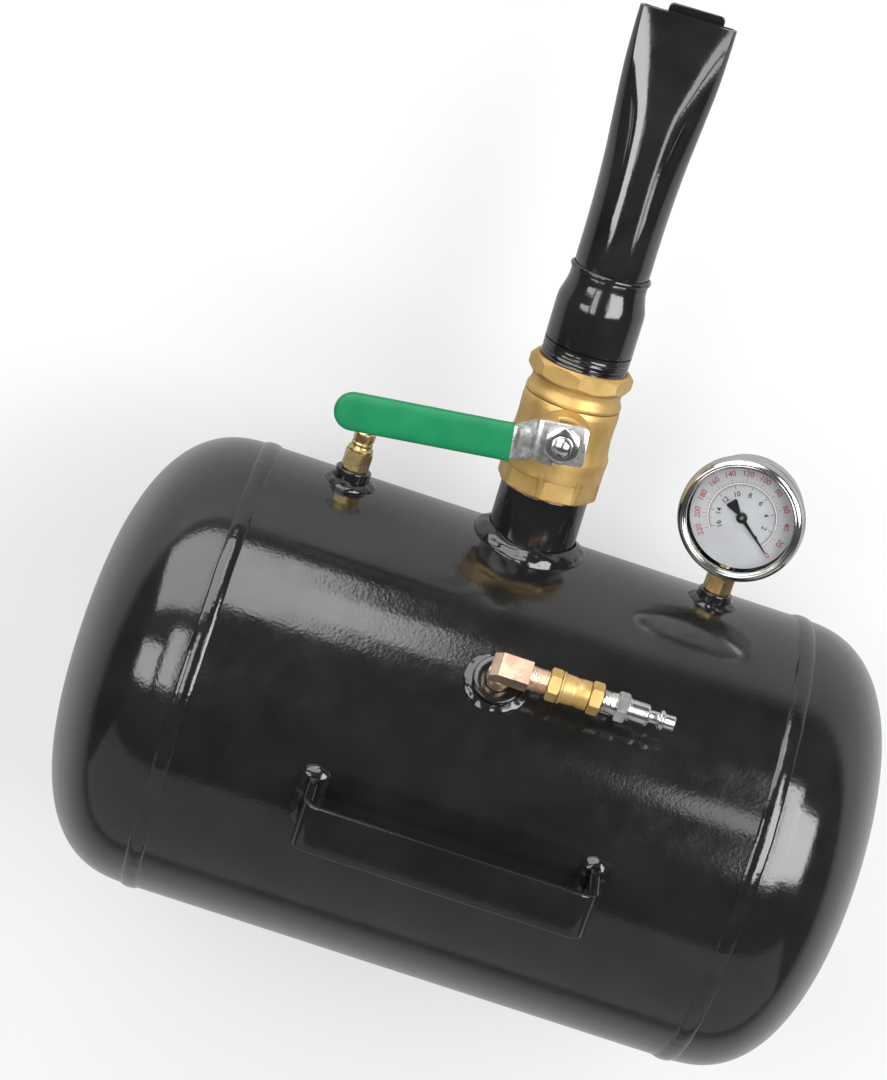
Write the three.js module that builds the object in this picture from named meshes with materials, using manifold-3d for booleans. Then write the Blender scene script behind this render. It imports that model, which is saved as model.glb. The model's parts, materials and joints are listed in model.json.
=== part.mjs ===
// Bead seater blaster tank: a portable air tank with a ball valve and a flattened
// blast barrel. The tank lies on its side on two strap feet, handle up.
// Millimetres. X runs along the tank, Y along the barrel, Z up through the handle.
// Everything is drawn about the middle of the tank's axis, and the finished group is
// then lifted so that the origin is under the middle of its box, on the ground.

import * as THREE from "three";
import { mergeVertices } from "three/addons/utils/BufferGeometryUtils.js";
import Module from "manifold-3d";

// ---- Driving dimensions -------------------------------------------------------------

const GAP = 0.3;
const MERGE_TOLERANCE = 1e-4;

// Tank: a rolled shell and two deep heads with full shoulders, about 20 litres inside.
const TANK_R = 128;
const TANK_WALL = 2.5;
const TANK_SIDES = 32;
const SHELL_HALF = 154.1;
const HEAD = { depth: 68.7, power: 2.6, steps: 5 };
const GIRTH_WELD = { halfWidth: 4.7, crown: 2.6, rise: 1 };
const RUN = TANK_R + GAP;

// Places along the tank.
const BARREL_X = -5;
const BARREL_LEAN = THREE.MathUtils.degToRad(2);
const RELIEF_X = -107.5;
const GAUGE_X = 100;
const INLET_X = -2;
const INLET_ANGLE = THREE.MathUtils.degToRad(50.5);
const UP_ANGLE = Math.PI / 2;

// Carry handle and feet: bent flat bar.
const HANDLE = { length: 157.5, rise: 40, width: 25, bar: 5, bend: 9 };
const HANDLE_BEAD = { width: 5, height: 4.5 };
const FOOT = { x: 100, drop: 23, half: 74, width: 25, bar: 4, bend: 9 };
const FOOT_BEAD = { width: 4.5, height: 4.5 };
const GROUND = TANK_R + FOOT.drop;

// Outlet nipple, 1 1/2 inch pipe.
const NIPPLE = { r: 24.15, bore: 20.45, inside: 120, shoulder: 159.2, thread: 22.9, top: 176 };
const NIPPLE_BEAD = { clear: 0.5, width: 8.4, height: 8 };

// Ball valve, centred on VALVE_Y; its own heights run from its centre.
const VALVE_Y = 198.7;
const VALVE_SIDES = 24;
const VALVE = {
  foot: -39.2, top: 33.8, bottomOctagon: 11.5, topOctagon: 10.6, bottomFlats: 51.6, topFlats: 52.6,
  turn: -9, skirt: 27.8, ridge: 28.2, waist: 26.2, bulge: 26.5, neck: 24.7, split: 13,
  ball: 21, port: 14, room: 21.6, seatR: 19.5, seatBack: 19, pocket: 19.8,
  spigot: 23, spigotFoot: 8, thread: 23.2, floor: 21.3,
};
const STEM = {
  r: 6, collar: 8, tang: 6, tangFoot: 17.6, flange: 22, flangeTop: 25,
  chamber: 28, packingTop: 33, bossTop: 37, bossR: 12.5, glandTop: 42, glandFlats: 17,
  flatsFoot: 43, plateTop: 46, thread: 5.5, nutTop: 51.6, tip: 53.5, flat: 4.5,
};
const LEVER = {
  angle: 5.5, head: 13, neck: 22, bar: 3, width: 22, gripWidth: 18, offset: 15,
  bendFrom: -14, bendTo: -25, end: -117, nutFlats: 17,
};
const GRIP = { from: -26, to: -120, width: 20.8, thick: 6.6, room: 0.3 };
const STOP = {
  inner: 10.6, outer: 13, foot: 37, top: 42, tabFoot: 39, tabFrom: -11, tabTo: -2.5, lugs: [127, 274],
};

// Barrel adapter and flattened barrel.
const ADAPTER = {
  foot: 220.5, thread: 22.9, threadTop: 233, r: 24, bell: 265, shoulder: 271, shoulderR: 22.4,
  neck: 21, neckFoot: 276, top: 282, bore: 17.2,
};
const BARREL = { foot: 271, r: 19.6, wall: 1.9, lip: 423.5, sides: 24 };
const TAB = { x: 4, width: 30, thick: 3, foot: 400, top: 427.5, standOff: 2.4 };

// Relief valve, quarter inch thread, in its boss on the shell.
const BOSS = { foot: 122, threadR: 6.5, bore: 6.8 };
const RELIEF = {
  bossR: 9.9, bossTop: 136, hex: 14, hexTop: 147.2, ringTop: 148.6, neckTop: 150,
  seat: 141, inlet: 3.2, chamber: 4.6, socket: 5, spigot: 4.7, spigotFoot: 145.3,
  skirt: 6, skirtTop: 158, cap: 5, capTop: 162.5, roof: 160.5, stemHole: 1.8,
  disc: 4, discTop: 143, stem: 1.3, eyeFoot: 164, eyeTop: 171.5, eye: 168, eyeHole: 1.6,
};
const RING = { r: 9, wire: 0.8 };

// Pressure gauge, on a stem, its face turned a little towards the tank's left end.
const GAUGE = {
  y: 180, turn: -10.5, sides: 28, bossR: 9.5, bossTop: 134, hex: 14, hexTop: 144.5,
  neck: 5.2, blockFoot: 152, blockTop: 162, caseR: 31, caseBack: -14, caseRim: 10, wall: 1.2,
  bezelR: 34.5, bezelBack: 6.5, bezelFront: 16.5, sight: 28.8, lensTop: 13.3,
  dialR: 28.5, dialZ: 5.6, dialThick: 0.8,
};
const SWEEP_START = THREE.MathUtils.degToRad(-37.5);
const POINTER = { length: 23, tail: 10.5, hub: 3.1, bottom: 7, top: 7.8, shaft: 1 };
const MOVEMENT = {
  pinionR: 2.4, sectorR: 14.8, pivotX: -10, pivotY: -14.36, back: -6.4, plateTop: -5.3,
};

// Inlet: elbow, check valve and air plug in a line along the tank. In the port's own
// frame the shell's surface is at TANK_R up the port's axis.
const INLET = { bossR: 13, bossTop: 133, armY: 151 };
const ELBOW = { leg: 6.7, arm: 12.6, corner: -6.3, armEnd: 14, threadR: 6.5, threadEnd: 29.5, bore: 4 };
const CHECK = {
  foot: 23.8, hex: 15.2, hexEnd: 30.3, ringR: 8.7, ringEnd: 31.3, r: 7.7, end: 45.7,
  thread: 6.9, threadEnd: 29.8, seatWall: 31, chamber: 5.5, socket: 6.2, socketFoot: 40,
  spigot: 5.9, spigotFoot: 40.3, capFoot: 46, capEnd: 52.6, hole: 3, plugThread: 6.6,
};
const POPPET = { r: 4.6, back: 38.2, face: 40, stem: 1.2, tip: 33.5 };
const PLUG = {
  foot: 47, thread: 6.3, threadEnd: 60.4, hex: 14, hexEnd: 66.6, r: 5.9, bodyEnd: 77.4,
  neck: 3.5, ringFoot: 83, ring: 5.25, ringEnd: 86, nose: 4, end: 92, bore: 2.5,
};

// ---- Finishes -----------------------------------------------------------------------

const FINISHES = {
  blackPaint: { color: 0x0b0b0c, roughness: 0.22, metalness: 0.0 },
  castBrass: { color: 0xc9a257, roughness: 0.42, metalness: 0.9 },
  forgedBrass: { color: 0xdba98a, roughness: 0.36, metalness: 0.95 },
  turnedBrass: { color: 0xb08a3e, roughness: 0.3, metalness: 1.0 },
  plainSteel: { color: 0xc4c6c8, roughness: 0.3, metalness: 1.0 },
  nickel: { color: 0xd8dadb, roughness: 0.15, metalness: 1.0 },
  stainless: { color: 0xb9bab8, roughness: 0.18, metalness: 1.0 },
  greenVinyl: { color: 0x109b5a, roughness: 0.38, metalness: 0.0 },
  whitePlastic: { color: 0xe9e8e2, roughness: 0.5, metalness: 0.0 },
  dialFace: { color: 0xdcdcde, roughness: 0.5, metalness: 0.0 },
  clearGlass: { color: 0xe8f0f0, roughness: 0.05, metalness: 0.0, transparent: true, opacity: 0.25 },
  pointerBlack: { color: 0x101010, roughness: 0.5, metalness: 0.0 },
  springSteel: { color: 0x9a9c9e, roughness: 0.35, metalness: 1.0 },
};

// ---- Geometry helpers ---------------------------------------------------------------

const wasm = await Module();
wasm.setup();

const TURN_TO = {
  x: new THREE.Matrix4().makeRotationZ(-Math.PI / 2),
  y: new THREE.Matrix4(),
  z: new THREE.Matrix4().makeRotationX(Math.PI / 2),
};

// Positions only, shared corners merged, empty triangles dropped.
function bare(geometry) {
  const plain = new THREE.BufferGeometry();
  plain.setAttribute("position", geometry.getAttribute("position").clone());
  plain.setIndex(geometry.index);
  const merged = mergeVertices(plain, MERGE_TOLERANCE);
  const index = merged.index.array;
  const kept = [];
  for (let i = 0; i < index.length; i += 3) {
    const [a, b, c] = [index[i], index[i + 1], index[i + 2]];
    if (a !== b && b !== c && c !== a) {
      kept.push(a, b, c);
    }
  }
  merged.setIndex(kept);
  return merged;
}

function signedVolume(geometry) {
  const place = geometry.getAttribute("position");
  const index = geometry.index.array;
  const corner = (i) => new THREE.Vector3().fromBufferAttribute(place, index[i]);
  let total = 0;
  for (let i = 0; i < index.length; i += 3) {
    total += corner(i).dot(corner(i + 1).cross(corner(i + 2)));
  }
  return total / 6;
}

// The same closed surface with its faces pointing out.
function outward(geometry) {
  const solid = bare(geometry);
  if (signedVolume(solid) < 0) {
    solid.setIndex(Array.from(solid.index.array).reverse());
  }
  solid.computeVertexNormals();
  return solid;
}

function toManifold(geometry) {
  const solid = outward(geometry);
  return new wasm.Manifold(new wasm.Mesh({
    numProp: 3,
    vertProperties: new Float32Array(solid.getAttribute("position").array),
    triVerts: new Uint32Array(solid.index.array),
  }));
}

function toGeometry(manifold) {
  const mesh = manifold.getMesh();
  const geometry = new THREE.BufferGeometry();
  geometry.setAttribute("position", new THREE.BufferAttribute(mesh.vertProperties, 3));
  geometry.setIndex(new THREE.BufferAttribute(mesh.triVerts, 1));
  geometry.computeVertexNormals();
  return geometry;
}

function join(...geometries) {
  return toGeometry(geometries.map(toManifold).reduce((sum, next) => sum.add(next)));
}

function cut(geometry, ...tools) {
  return toGeometry(tools.map(toManifold).reduce((rest, tool) => rest.subtract(tool), toManifold(geometry)));
}

function common(geometry, other) {
  return toGeometry(toManifold(geometry).intersect(toManifold(other)));
}

// A profile of [radius, height] pairs turned about an axis. A profile off the axis closes.
function turned(profile, sides, axis = "y") {
  const points = profile.map(([r, h]) => new THREE.Vector2(r, h));
  const onAxis = profile[0][0] === 0 && profile[profile.length - 1][0] === 0;
  if (!onAxis) {
    points.push(points[0].clone());
  }
  return outward(new THREE.LatheGeometry(points, sides).applyMatrix4(TURN_TO[axis]));
}

function rod(r, from, to, sides, axis = "y") {
  return turned([[0, from], [r, from], [r, to], [0, to]], sides, axis);
}

function tube(bore, r, from, to, sides, axis = "y") {
  return turned([[bore, from], [r, from], [r, to], [bore, to]], sides, axis);
}

// A prism with flat sides a given distance across, such as a hexagon.
function flats(across, from, to, sides, axis = "y") {
  return rod(across / 2 / Math.cos(Math.PI / sides), from, to, sides, axis);
}

function box(x, y, z) {
  const size = [x[1] - x[0], y[1] - y[0], z[1] - z[0]];
  const middle = [(x[0] + x[1]) / 2, (y[0] + y[1]) / 2, (z[0] + z[1]) / 2];
  return new THREE.BoxGeometry(...size).translate(...middle);
}

// An outline in the XY plane raised along Z.
function plate(shape, from, to, curveSegments = 6) {
  const options = { depth: to - from, bevelEnabled: false, curveSegments };
  return outward(new THREE.ExtrudeGeometry(shape, options).translate(0, 0, from));
}

// Closed loops of points, each joined to the next and the last to the first.
function loft(loops) {
  const count = loops[0].length;
  const positions = loops.flat().flatMap((point) => point.toArray());
  const index = [];
  loops.forEach((loop, row) => {
    const next = (row + 1) % loops.length;
    for (let i = 0; i < count; i += 1) {
      const j = (i + 1) % count;
      const [a, b] = [row * count + i, row * count + j];
      const [c, d] = [next * count + i, next * count + j];
      index.push(a, c, b, b, c, d);
    }
  });
  const geometry = new THREE.BufferGeometry();
  geometry.setAttribute("position", new THREE.Float32BufferAttribute(positions, 3));
  geometry.setIndex(index);
  return outward(geometry);
}

class Helix extends THREE.Curve {
  constructor(r, from, to, turns) {
    super();
    Object.assign(this, { r, from, to, turns });
  }

  getPoint(t) {
    const angle = 2 * Math.PI * this.turns * t;
    const height = this.from + (this.to - this.from) * t;
    return new THREE.Vector3(this.r * Math.cos(angle), height, this.r * Math.sin(angle));
  }
}

const WIRE_SIDES = 4;
const STEPS_PER_TURN = 7;

// A compression spring standing along Y, its wire's outside between the two heights.
function spring(r, wire, from, to, turns) {
  const section = new THREE.Shape();
  for (let i = 0; i < WIRE_SIDES; i += 1) {
    const angle = (2 * Math.PI * i) / WIRE_SIDES;
    const point = [wire * Math.cos(angle), wire * Math.sin(angle)];
    if (i === 0) {
      section.moveTo(...point);
    } else {
      section.lineTo(...point);
    }
  }
  const options = {
    steps: Math.round(turns * STEPS_PER_TURN),
    extrudePath: new Helix(r, from + wire, to - wire, turns),
    curveSegments: 1,
  };
  return outward(new THREE.ExtrudeGeometry(section, options));
}

function circleLoop(r, sides) {
  const loop = [];
  for (let i = 0; i < sides; i += 1) {
    const angle = (2 * Math.PI * i) / sides;
    loop.push({ x: r * Math.cos(angle), z: r * Math.sin(angle), nx: Math.cos(angle), nz: Math.sin(angle) });
  }
  return loop;
}

// The outline of a flat bar's end, in steps along its long sides.
function barLoop(x, z, steps) {
  const corners = [[x[1], z[0], 1, -1], [x[1], z[1], 1, 1], [x[0], z[1], -1, 1], [x[0], z[0], -1, -1]];
  const loop = [];
  corners.forEach(([cx, cz, nx, nz], i) => {
    const [dx, dz, mx, mz] = corners[(i + 1) % corners.length];
    loop.push({ x: cx, z: cz, nx, nz });
    const parts = Math.abs(dz - cz) > Math.abs(dx - cx) ? steps : 1;
    for (let k = 1; k < parts; k += 1) {
      const t = k / parts;
      const normal = { nx: (nx + mx) / 2, nz: (nz + mz) / 2 };
      loop.push({ x: cx + (dx - cx) * t, z: cz + (dz - cz) * t, ...normal });
    }
  });
  return loop;
}

function shellHeight(z) {
  return Math.sqrt(RUN * RUN - z * z);
}

// A weld bead round an outline on the shell, in the frame of a port whose axis is +Y.
function bead(loop, { width, height }) {
  const rows = [[0, 0], [1, 0], [0.62, 0.62], [0, 1]];
  return loft(loop.map(({ x, z, nx, nz }) => rows.map(([out, up]) => {
    const [px, pz] = [x + nx * (GAP + width * out), z + nz * (GAP + width * out)];
    return new THREE.Vector3(px, shellHeight(pz) + height * up, pz);
  })));
}

// ---- The assembly -------------------------------------------------------------------

const tankGroup = new THREE.Group();

function add(name, finish, geometry, parent = tankGroup) {
  const mesh = new THREE.Mesh(geometry, new THREE.MeshStandardMaterial(FINISHES[finish]));
  mesh.name = name;
  parent.add(mesh);
  return mesh;
}

// A group whose +Y points out of the shell at an angle from the barrel's side.
function port(x, angle) {
  const group = new THREE.Group();
  group.position.x = x;
  group.rotation.x = angle;
  tankGroup.add(group);
  return group;
}

// The barrel's port leans a little towards the tank's left end, about the shell's surface.
function leaningPort() {
  const pivot = new THREE.Group();
  pivot.position.set(BARREL_X, TANK_R, 0);
  pivot.rotation.z = BARREL_LEAN;
  tankGroup.add(pivot);
  const group = new THREE.Group();
  group.position.y = -TANK_R;
  pivot.add(group);
  return group;
}

// Half of a head's section: a superellipse outside, and the same curve a wall inside it.
function headProfile() {
  const start = SHELL_HALF + GAP;
  const curve = (r, depth) => Array.from({ length: HEAD.steps + 1 }, (_, i) => {
    const angle = (Math.PI / 2) * (i / HEAD.steps);
    const radius = i === HEAD.steps ? 0 : r * Math.cos(angle) ** (2 / HEAD.power);
    return [radius, start + depth * Math.sin(angle) ** (2 / HEAD.power)];
  });
  return [...curve(TANK_R, HEAD.depth).reverse(), ...curve(TANK_R - TANK_WALL, HEAD.depth - TANK_WALL)];
}

function addTank() {
  const barrelHole = rod(NIPPLE.r + GAP, -TANK_R, RUN - TANK_R + 2, 24)
    .rotateZ(BARREL_LEAN).translate(BARREL_X, TANK_R, 0);
  const reliefHole = rod(RELIEF.bossR + GAP, 0, RUN + 1, 16).translate(RELIEF_X, 0, 0);
  const gaugeHole = rod(GAUGE.bossR + GAP, 0, RUN + 1, 16).translate(GAUGE_X, 0, 0);
  const inletHole = rod(INLET.bossR + GAP, 0, RUN + 1, 16).rotateX(INLET_ANGLE).translate(INLET_X, 0, 0);
  const shell = tube(TANK_R - TANK_WALL, TANK_R, -SHELL_HALF, SHELL_HALF, TANK_SIDES, "x");
  add("tank_shell", "blackPaint", cut(shell, barrelHole, reliefHole, gaugeHole, inletHole));
  const { halfWidth, crown, rise } = GIRTH_WELD;
  const seam = SHELL_HALF + GAP / 2;
  for (const [side, sign] of [["left", -1], ["right", 1]]) {
    const head = turned(headProfile(), TANK_SIDES, "x");
    const weld = turned([
      [RUN, seam - halfWidth], [RUN + rise, seam - crown],
      [RUN + rise, seam + crown], [RUN, seam + halfWidth],
    ], TANK_SIDES, "x");
    for (const [name, geometry] of [[`tank_head_${side}`, head], [`girth_weld_${side}`, weld]]) {
      if (sign < 0) {
        geometry.rotateZ(Math.PI);
      }
      add(name, "blackPaint", geometry);
    }
  }
}

// A flat bar bent twice into a bridge: outer length and height, seen from the side.
function bridgeShape(length, top, foot, bar, bend) {
  const half = length / 2;
  const shape = new THREE.Shape();
  shape.moveTo(-half, foot.outer);
  shape.lineTo(-half, top - bend);
  shape.absarc(-half + bend, top - bend, bend, Math.PI, Math.PI / 2, true);
  shape.absarc(half - bend, top - bend, bend, Math.PI / 2, 0, true);
  shape.lineTo(half, foot.outer);
  shape.lineTo(half - bar, foot.inner);
  shape.absarc(half - bend, top - bend, bend - bar, 0, Math.PI / 2, false);
  shape.absarc(-half + bend, top - bend, bend - bar, Math.PI / 2, Math.PI, false);
  shape.lineTo(-half + bar, foot.inner);
  return shape;
}

function addHandle() {
  const top = port(0, UP_ANGLE);
  const half = HANDLE.width / 2;
  const foot = { outer: RUN, inner: RUN };
  const shape = bridgeShape(HANDLE.length, TANK_R + HANDLE.rise, foot, HANDLE.bar, HANDLE.bend);
  add("carry_handle", "blackPaint", plate(shape, -half, half, 3), top);
  for (const [side, sign] of [["left", -1], ["right", 1]]) {
    const outer = (sign * HANDLE.length) / 2;
    const x = [outer, outer - sign * HANDLE.bar].sort((a, b) => a - b);
    add(`handle_weld_${side}`, "blackPaint", bead(barLoop(x, [-half, half], 4), HANDLE_BEAD), top);
  }
}

function addFeet() {
  for (const [side, sign] of [["left", -1], ["right", 1]]) {
    const below = port(sign * FOOT.x, -UP_ANGLE);
    const half = FOOT.width / 2;
    const foot = { outer: shellHeight(FOOT.half), inner: shellHeight(FOOT.half - FOOT.bar) };
    const shape = bridgeShape(2 * FOOT.half, GROUND, foot, FOOT.bar, FOOT.bend);
    const strap = plate(shape, -half, half, 3).rotateY(Math.PI / 2);
    add(`foot_${side}`, "blackPaint", strap, below);
    for (const [end, way] of [["front", -1], ["back", 1]]) {
      const z = [way * FOOT.half, way * (FOOT.half - FOOT.bar)].sort((a, b) => a - b);
      const weld = bead(barLoop([-half, half], z, 1), FOOT_BEAD);
      add(`foot_weld_${side}_${end}`, "blackPaint", weld, below);
    }
  }
}

function addBosses() {
  const beads = [
    ["relief", RELIEF_X, 0, RELIEF.bossR, RELIEF.bossTop, { width: 5, height: 4 }],
    ["gauge", GAUGE_X, 0, GAUGE.bossR, GAUGE.bossTop, { width: 5, height: 3 }],
    ["inlet", INLET_X, INLET_ANGLE, INLET.bossR, INLET.bossTop, { width: 5.4, height: 3 }],
  ];
  for (const [name, x, angle, r, top, size] of beads) {
    const group = port(x, angle);
    add(`${name}_boss`, "blackPaint", tube(BOSS.bore, r, BOSS.foot, top, 16), group);
    add(`${name}_boss_weld`, "blackPaint", bead(circleLoop(r, 16), size), group);
  }
}

function addOutlet() {
  const group = leaningPort();
  add("outlet_nipple", "blackPaint", turned([
    [NIPPLE.bore, NIPPLE.inside], [NIPPLE.r, NIPPLE.inside], [NIPPLE.r, NIPPLE.shoulder],
    [NIPPLE.thread, NIPPLE.shoulder], [NIPPLE.thread, NIPPLE.top], [NIPPLE.bore, NIPPLE.top],
  ], 24), group);
  const ring = circleLoop(NIPPLE.r + NIPPLE_BEAD.clear, 24);
  add("outlet_weld", "blackPaint", bead(ring, NIPPLE_BEAD), port(BARREL_X, 0));
}

// The valve's lower half: octagon, ball housing, stem boss and the lever's two stops.
function valveBody() {
  const turn = THREE.MathUtils.degToRad(VALVE.turn);
  const octagonTop = VALVE.foot + VALVE.bottomOctagon;
  const octagon = flats(VALVE.bottomFlats, VALVE.foot, octagonTop, 8).rotateY(turn);
  const housing = turned([
    [0, octagonTop - 1], [VALVE.skirt, octagonTop - 1], [VALVE.skirt, -19], [VALVE.ridge, -15],
    [VALVE.waist + 0.8, -10], [VALVE.waist, -2], [VALVE.bulge, 5], [VALVE.waist, VALVE.split],
    [0, VALVE.split],
  ], VALVE_SIDES);
  const boss = rod(STEM.bossR, VALVE.room, STEM.bossTop, 16, "z");
  const lugs = STOP.lugs.map((degrees) => {
    const lug = box([STOP.inner, STOP.outer], [-2, 2], [STOP.foot - 2, STOP.top]);
    return lug.rotateZ(THREE.MathUtils.degToRad(degrees));
  });
  const rooms = [
    turned([
      [0, VALVE.foot - 1], [VALVE.thread, VALVE.foot - 1], [VALVE.thread, -VALVE.floor],
      [VALVE.port, -VALVE.floor], [VALVE.port, -VALVE.seatBack - GAP],
      [VALVE.pocket, -VALVE.seatBack - GAP], [VALVE.pocket, -VALVE.spigotFoot],
      [VALVE.room, -VALVE.spigotFoot], [VALVE.room, VALVE.spigotFoot - GAP],
      [VALVE.spigot + GAP, VALVE.spigotFoot - GAP], [VALVE.spigot + GAP, VALVE.split + 1],
      [0, VALVE.split + 1],
    ], 20),
    turned([
      [0, 0], [STEM.collar + GAP, 0], [STEM.collar + GAP, STEM.flangeTop + GAP],
      [STEM.r + GAP, STEM.flangeTop + GAP], [STEM.r + GAP, STEM.chamber],
      [STEM.collar + 1 + GAP, STEM.chamber], [STEM.collar + 1 + GAP, STEM.bossTop + 1],
      [0, STEM.bossTop + 1],
    ], 14, "z"),
  ];
  return cut(join(octagon, housing, boss, ...lugs), ...rooms);
}

// The valve's screwed-in upper end.
function valveEnd() {
  const octagonFoot = VALVE.top - VALVE.topOctagon;
  const octagon = flats(VALVE.topFlats, octagonFoot, VALVE.top, 8);
  const collar = turned([
    [0, VALVE.spigotFoot], [VALVE.spigot, VALVE.spigotFoot], [VALVE.spigot, VALVE.split + GAP],
    [VALVE.waist, VALVE.split + GAP], [VALVE.neck, 18],
    [VALVE.neck, octagonFoot + 1], [0, octagonFoot + 1],
  ], VALVE_SIDES);
  const room = turned([
    [0, VALVE.spigotFoot - 1], [VALVE.pocket, VALVE.spigotFoot - 1],
    [VALVE.pocket, VALVE.seatBack + GAP], [VALVE.port, VALVE.seatBack + GAP],
    [VALVE.port, VALVE.floor], [VALVE.thread, VALVE.floor], [VALVE.thread, VALVE.top + 1],
    [0, VALVE.top + 1],
  ], 20);
  return cut(join(octagon, collar), room);
}

// A seat ring: its cone stays clear of the ball all the way round.
function valveSeat(sign) {
  const reach = VALVE.ball + GAP;
  const touch = 17;
  const touchHeight = Math.sqrt(reach * reach - touch * touch);
  const slope = touch / touchHeight;
  const inner = VALVE.port + 0.4;
  const heightAt = (r) => touchHeight - slope * (r - touch);
  return turned([
    [inner, sign * heightAt(inner)], [VALVE.seatR, sign * heightAt(VALVE.seatR)],
    [VALVE.seatR, sign * VALVE.seatBack], [inner, sign * VALVE.seatBack],
  ], 18);
}

function valveBall() {
  const ball = new THREE.SphereGeometry(VALVE.ball, 16, 10);
  const bore = rod(VALVE.port, -VALVE.ball - 1, VALVE.ball + 1, 16, "x");
  const slotHalf = STEM.tang / 2 + GAP;
  const slot = box([-slotHalf, slotHalf], [-VALVE.ball, VALVE.ball], [STEM.tangFoot - GAP, VALVE.ball + 1]);
  return cut(ball, bore, slot);
}

function valveStem() {
  const tangHalf = STEM.tang / 2;
  const tang = box([-tangHalf, tangHalf], [-5, 5], [STEM.tangFoot, STEM.flange + 1]);
  const shaft = turned([
    [0, STEM.flange], [STEM.collar, STEM.flange], [STEM.collar, STEM.flangeTop],
    [STEM.r, STEM.flangeTop], [STEM.r, STEM.plateTop - 0.5], [STEM.thread, STEM.plateTop],
    [STEM.thread, STEM.nutTop], [STEM.thread * 0.8, STEM.tip - 0.7], [0, STEM.tip],
  ], 16, "z");
  const shaves = [[STEM.flat, 8], [-8, -STEM.flat]].map((y) => (
    box([-8, 8], y, [STEM.flatsFoot - GAP, STEM.plateTop])
  ));
  return cut(join(tang, shaft), ...shaves);
}

function leverSide() {
  const low = STEM.flatsFoot;
  const high = low + LEVER.offset;
  const points = [
    [LEVER.head, low], [LEVER.head, low + LEVER.bar], [LEVER.bendFrom, low + LEVER.bar],
    [LEVER.bendTo, high + LEVER.bar], [LEVER.end, high + LEVER.bar], [LEVER.end, high],
    [LEVER.bendTo - 1, high], [LEVER.bendFrom - 1, low],
  ];
  return new THREE.Shape(points.map(([x, z]) => new THREE.Vector2(x, z)));
}

function leverOutline() {
  const wide = LEVER.width / 2;
  const slim = LEVER.gripWidth / 2;
  const shape = new THREE.Shape();
  shape.moveTo(LEVER.head, -wide + 5);
  shape.lineTo(LEVER.head, wide - 2);
  shape.lineTo(LEVER.head - 2, wide);
  shape.lineTo(LEVER.bendTo + 6, wide);
  shape.lineTo(LEVER.bendTo, slim);
  shape.lineTo(LEVER.end + slim, slim);
  shape.absarc(LEVER.end + slim, 0, slim, Math.PI / 2, (3 * Math.PI) / 2, false);
  shape.lineTo(LEVER.bendTo, -slim);
  shape.lineTo(LEVER.bendTo + 6, -wide);
  shape.lineTo(LEVER.head - 5, -wide);
  return shape;
}

function leverPlate() {
  const reach = LEVER.width / 2 + 1;
  const bent = plate(leverSide(), -reach, reach, 1).rotateX(Math.PI / 2);
  const gripTop = STEM.flatsFoot + LEVER.offset + LEVER.bar;
  const outline = plate(leverOutline(), STEM.flatsFoot - 1, gripTop + 1, 4);
  const wide = LEVER.width / 2;
  const tab = box([STOP.tabFrom, STOP.tabTo], [-wide - 1.5, -wide + 1], [STOP.tabFoot, STEM.plateTop]);
  const hole = common(
    rod(STEM.r + GAP, STEM.flatsFoot - 1, STEM.plateTop + 1, 16, "z"),
    box([-8, 8], [-STEM.flat - GAP, STEM.flat + GAP], [STEM.flatsFoot - 2, STEM.plateTop + 2]),
  );
  return cut(join(common(bent, outline), tab), hole);
}

// The vinyl sleeve: a rounded bar with a pocket that the lever's end fills.
function leverGrip() {
  const middle = STEM.flatsFoot + LEVER.offset + LEVER.bar / 2;
  const half = GRIP.width / 2;
  const outline = new THREE.Shape();
  outline.moveTo(GRIP.from, -half);
  outline.lineTo(GRIP.from, half);
  outline.lineTo(GRIP.to + half, half);
  outline.absarc(GRIP.to + half, 0, half, Math.PI / 2, (3 * Math.PI) / 2, false);
  const sleeve = plate(outline, middle - GRIP.thick / 2, middle + GRIP.thick / 2, 5);
  const slim = LEVER.gripWidth / 2 + GRIP.room;
  const hollow = new THREE.Shape();
  hollow.moveTo(GRIP.from + 1, -slim);
  hollow.lineTo(GRIP.from + 1, slim);
  hollow.lineTo(LEVER.end - GRIP.room + slim, slim);
  hollow.absarc(LEVER.end - GRIP.room + slim, 0, slim, Math.PI / 2, (3 * Math.PI) / 2, false);
  const depth = LEVER.bar / 2 + GRIP.room;
  return cut(sleeve, plate(hollow, middle - depth, middle + depth, 4));
}

function addValve() {
  const group = leaningPort();
  const inner = new THREE.Group();
  inner.position.y = VALVE_Y;
  group.add(inner);
  add("valve_body", "castBrass", valveBody(), inner);
  add("valve_end", "castBrass", valveEnd(), inner);
  add("valve_seat_lower", "whitePlastic", valveSeat(-1), inner);
  add("valve_seat_upper", "whitePlastic", valveSeat(1), inner);
  const packing = tube(STEM.r + GAP, STEM.collar + 1, STEM.chamber + GAP, STEM.packingTop, 16, "z");
  add("stem_packing", "whitePlastic", packing, inner);
  const gland = cut(
    join(
      rod(STEM.collar + 1, STEM.packingTop + GAP, STEM.bossTop + GAP + 1, 16, "z"),
      flats(STEM.glandFlats, STEM.bossTop + GAP, STEM.glandTop, 6, "z"),
    ),
    rod(STEM.r + GAP, STEM.chamber, STEM.glandTop + 1, 16, "z"),
  );
  add("gland_nut", "plainSteel", gland, inner);
  const turning = new THREE.Group();
  turning.rotation.z = THREE.MathUtils.degToRad(LEVER.angle);
  inner.add(turning);
  add("valve_ball", "nickel", valveBall(), turning);
  add("valve_stem", "nickel", valveStem(), turning);
  add("lever", "plainSteel", leverPlate(), turning);
  add("lever_grip", "greenVinyl", leverGrip(), turning);
  const nut = cut(
    flats(LEVER.nutFlats, STEM.plateTop + GAP, STEM.nutTop, 6, "z"),
    rod(STEM.thread + GAP, STEM.plateTop - 1, STEM.nutTop + 1, 16, "z"),
  );
  add("lever_nut", "nickel", nut, turning);
}

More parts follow.
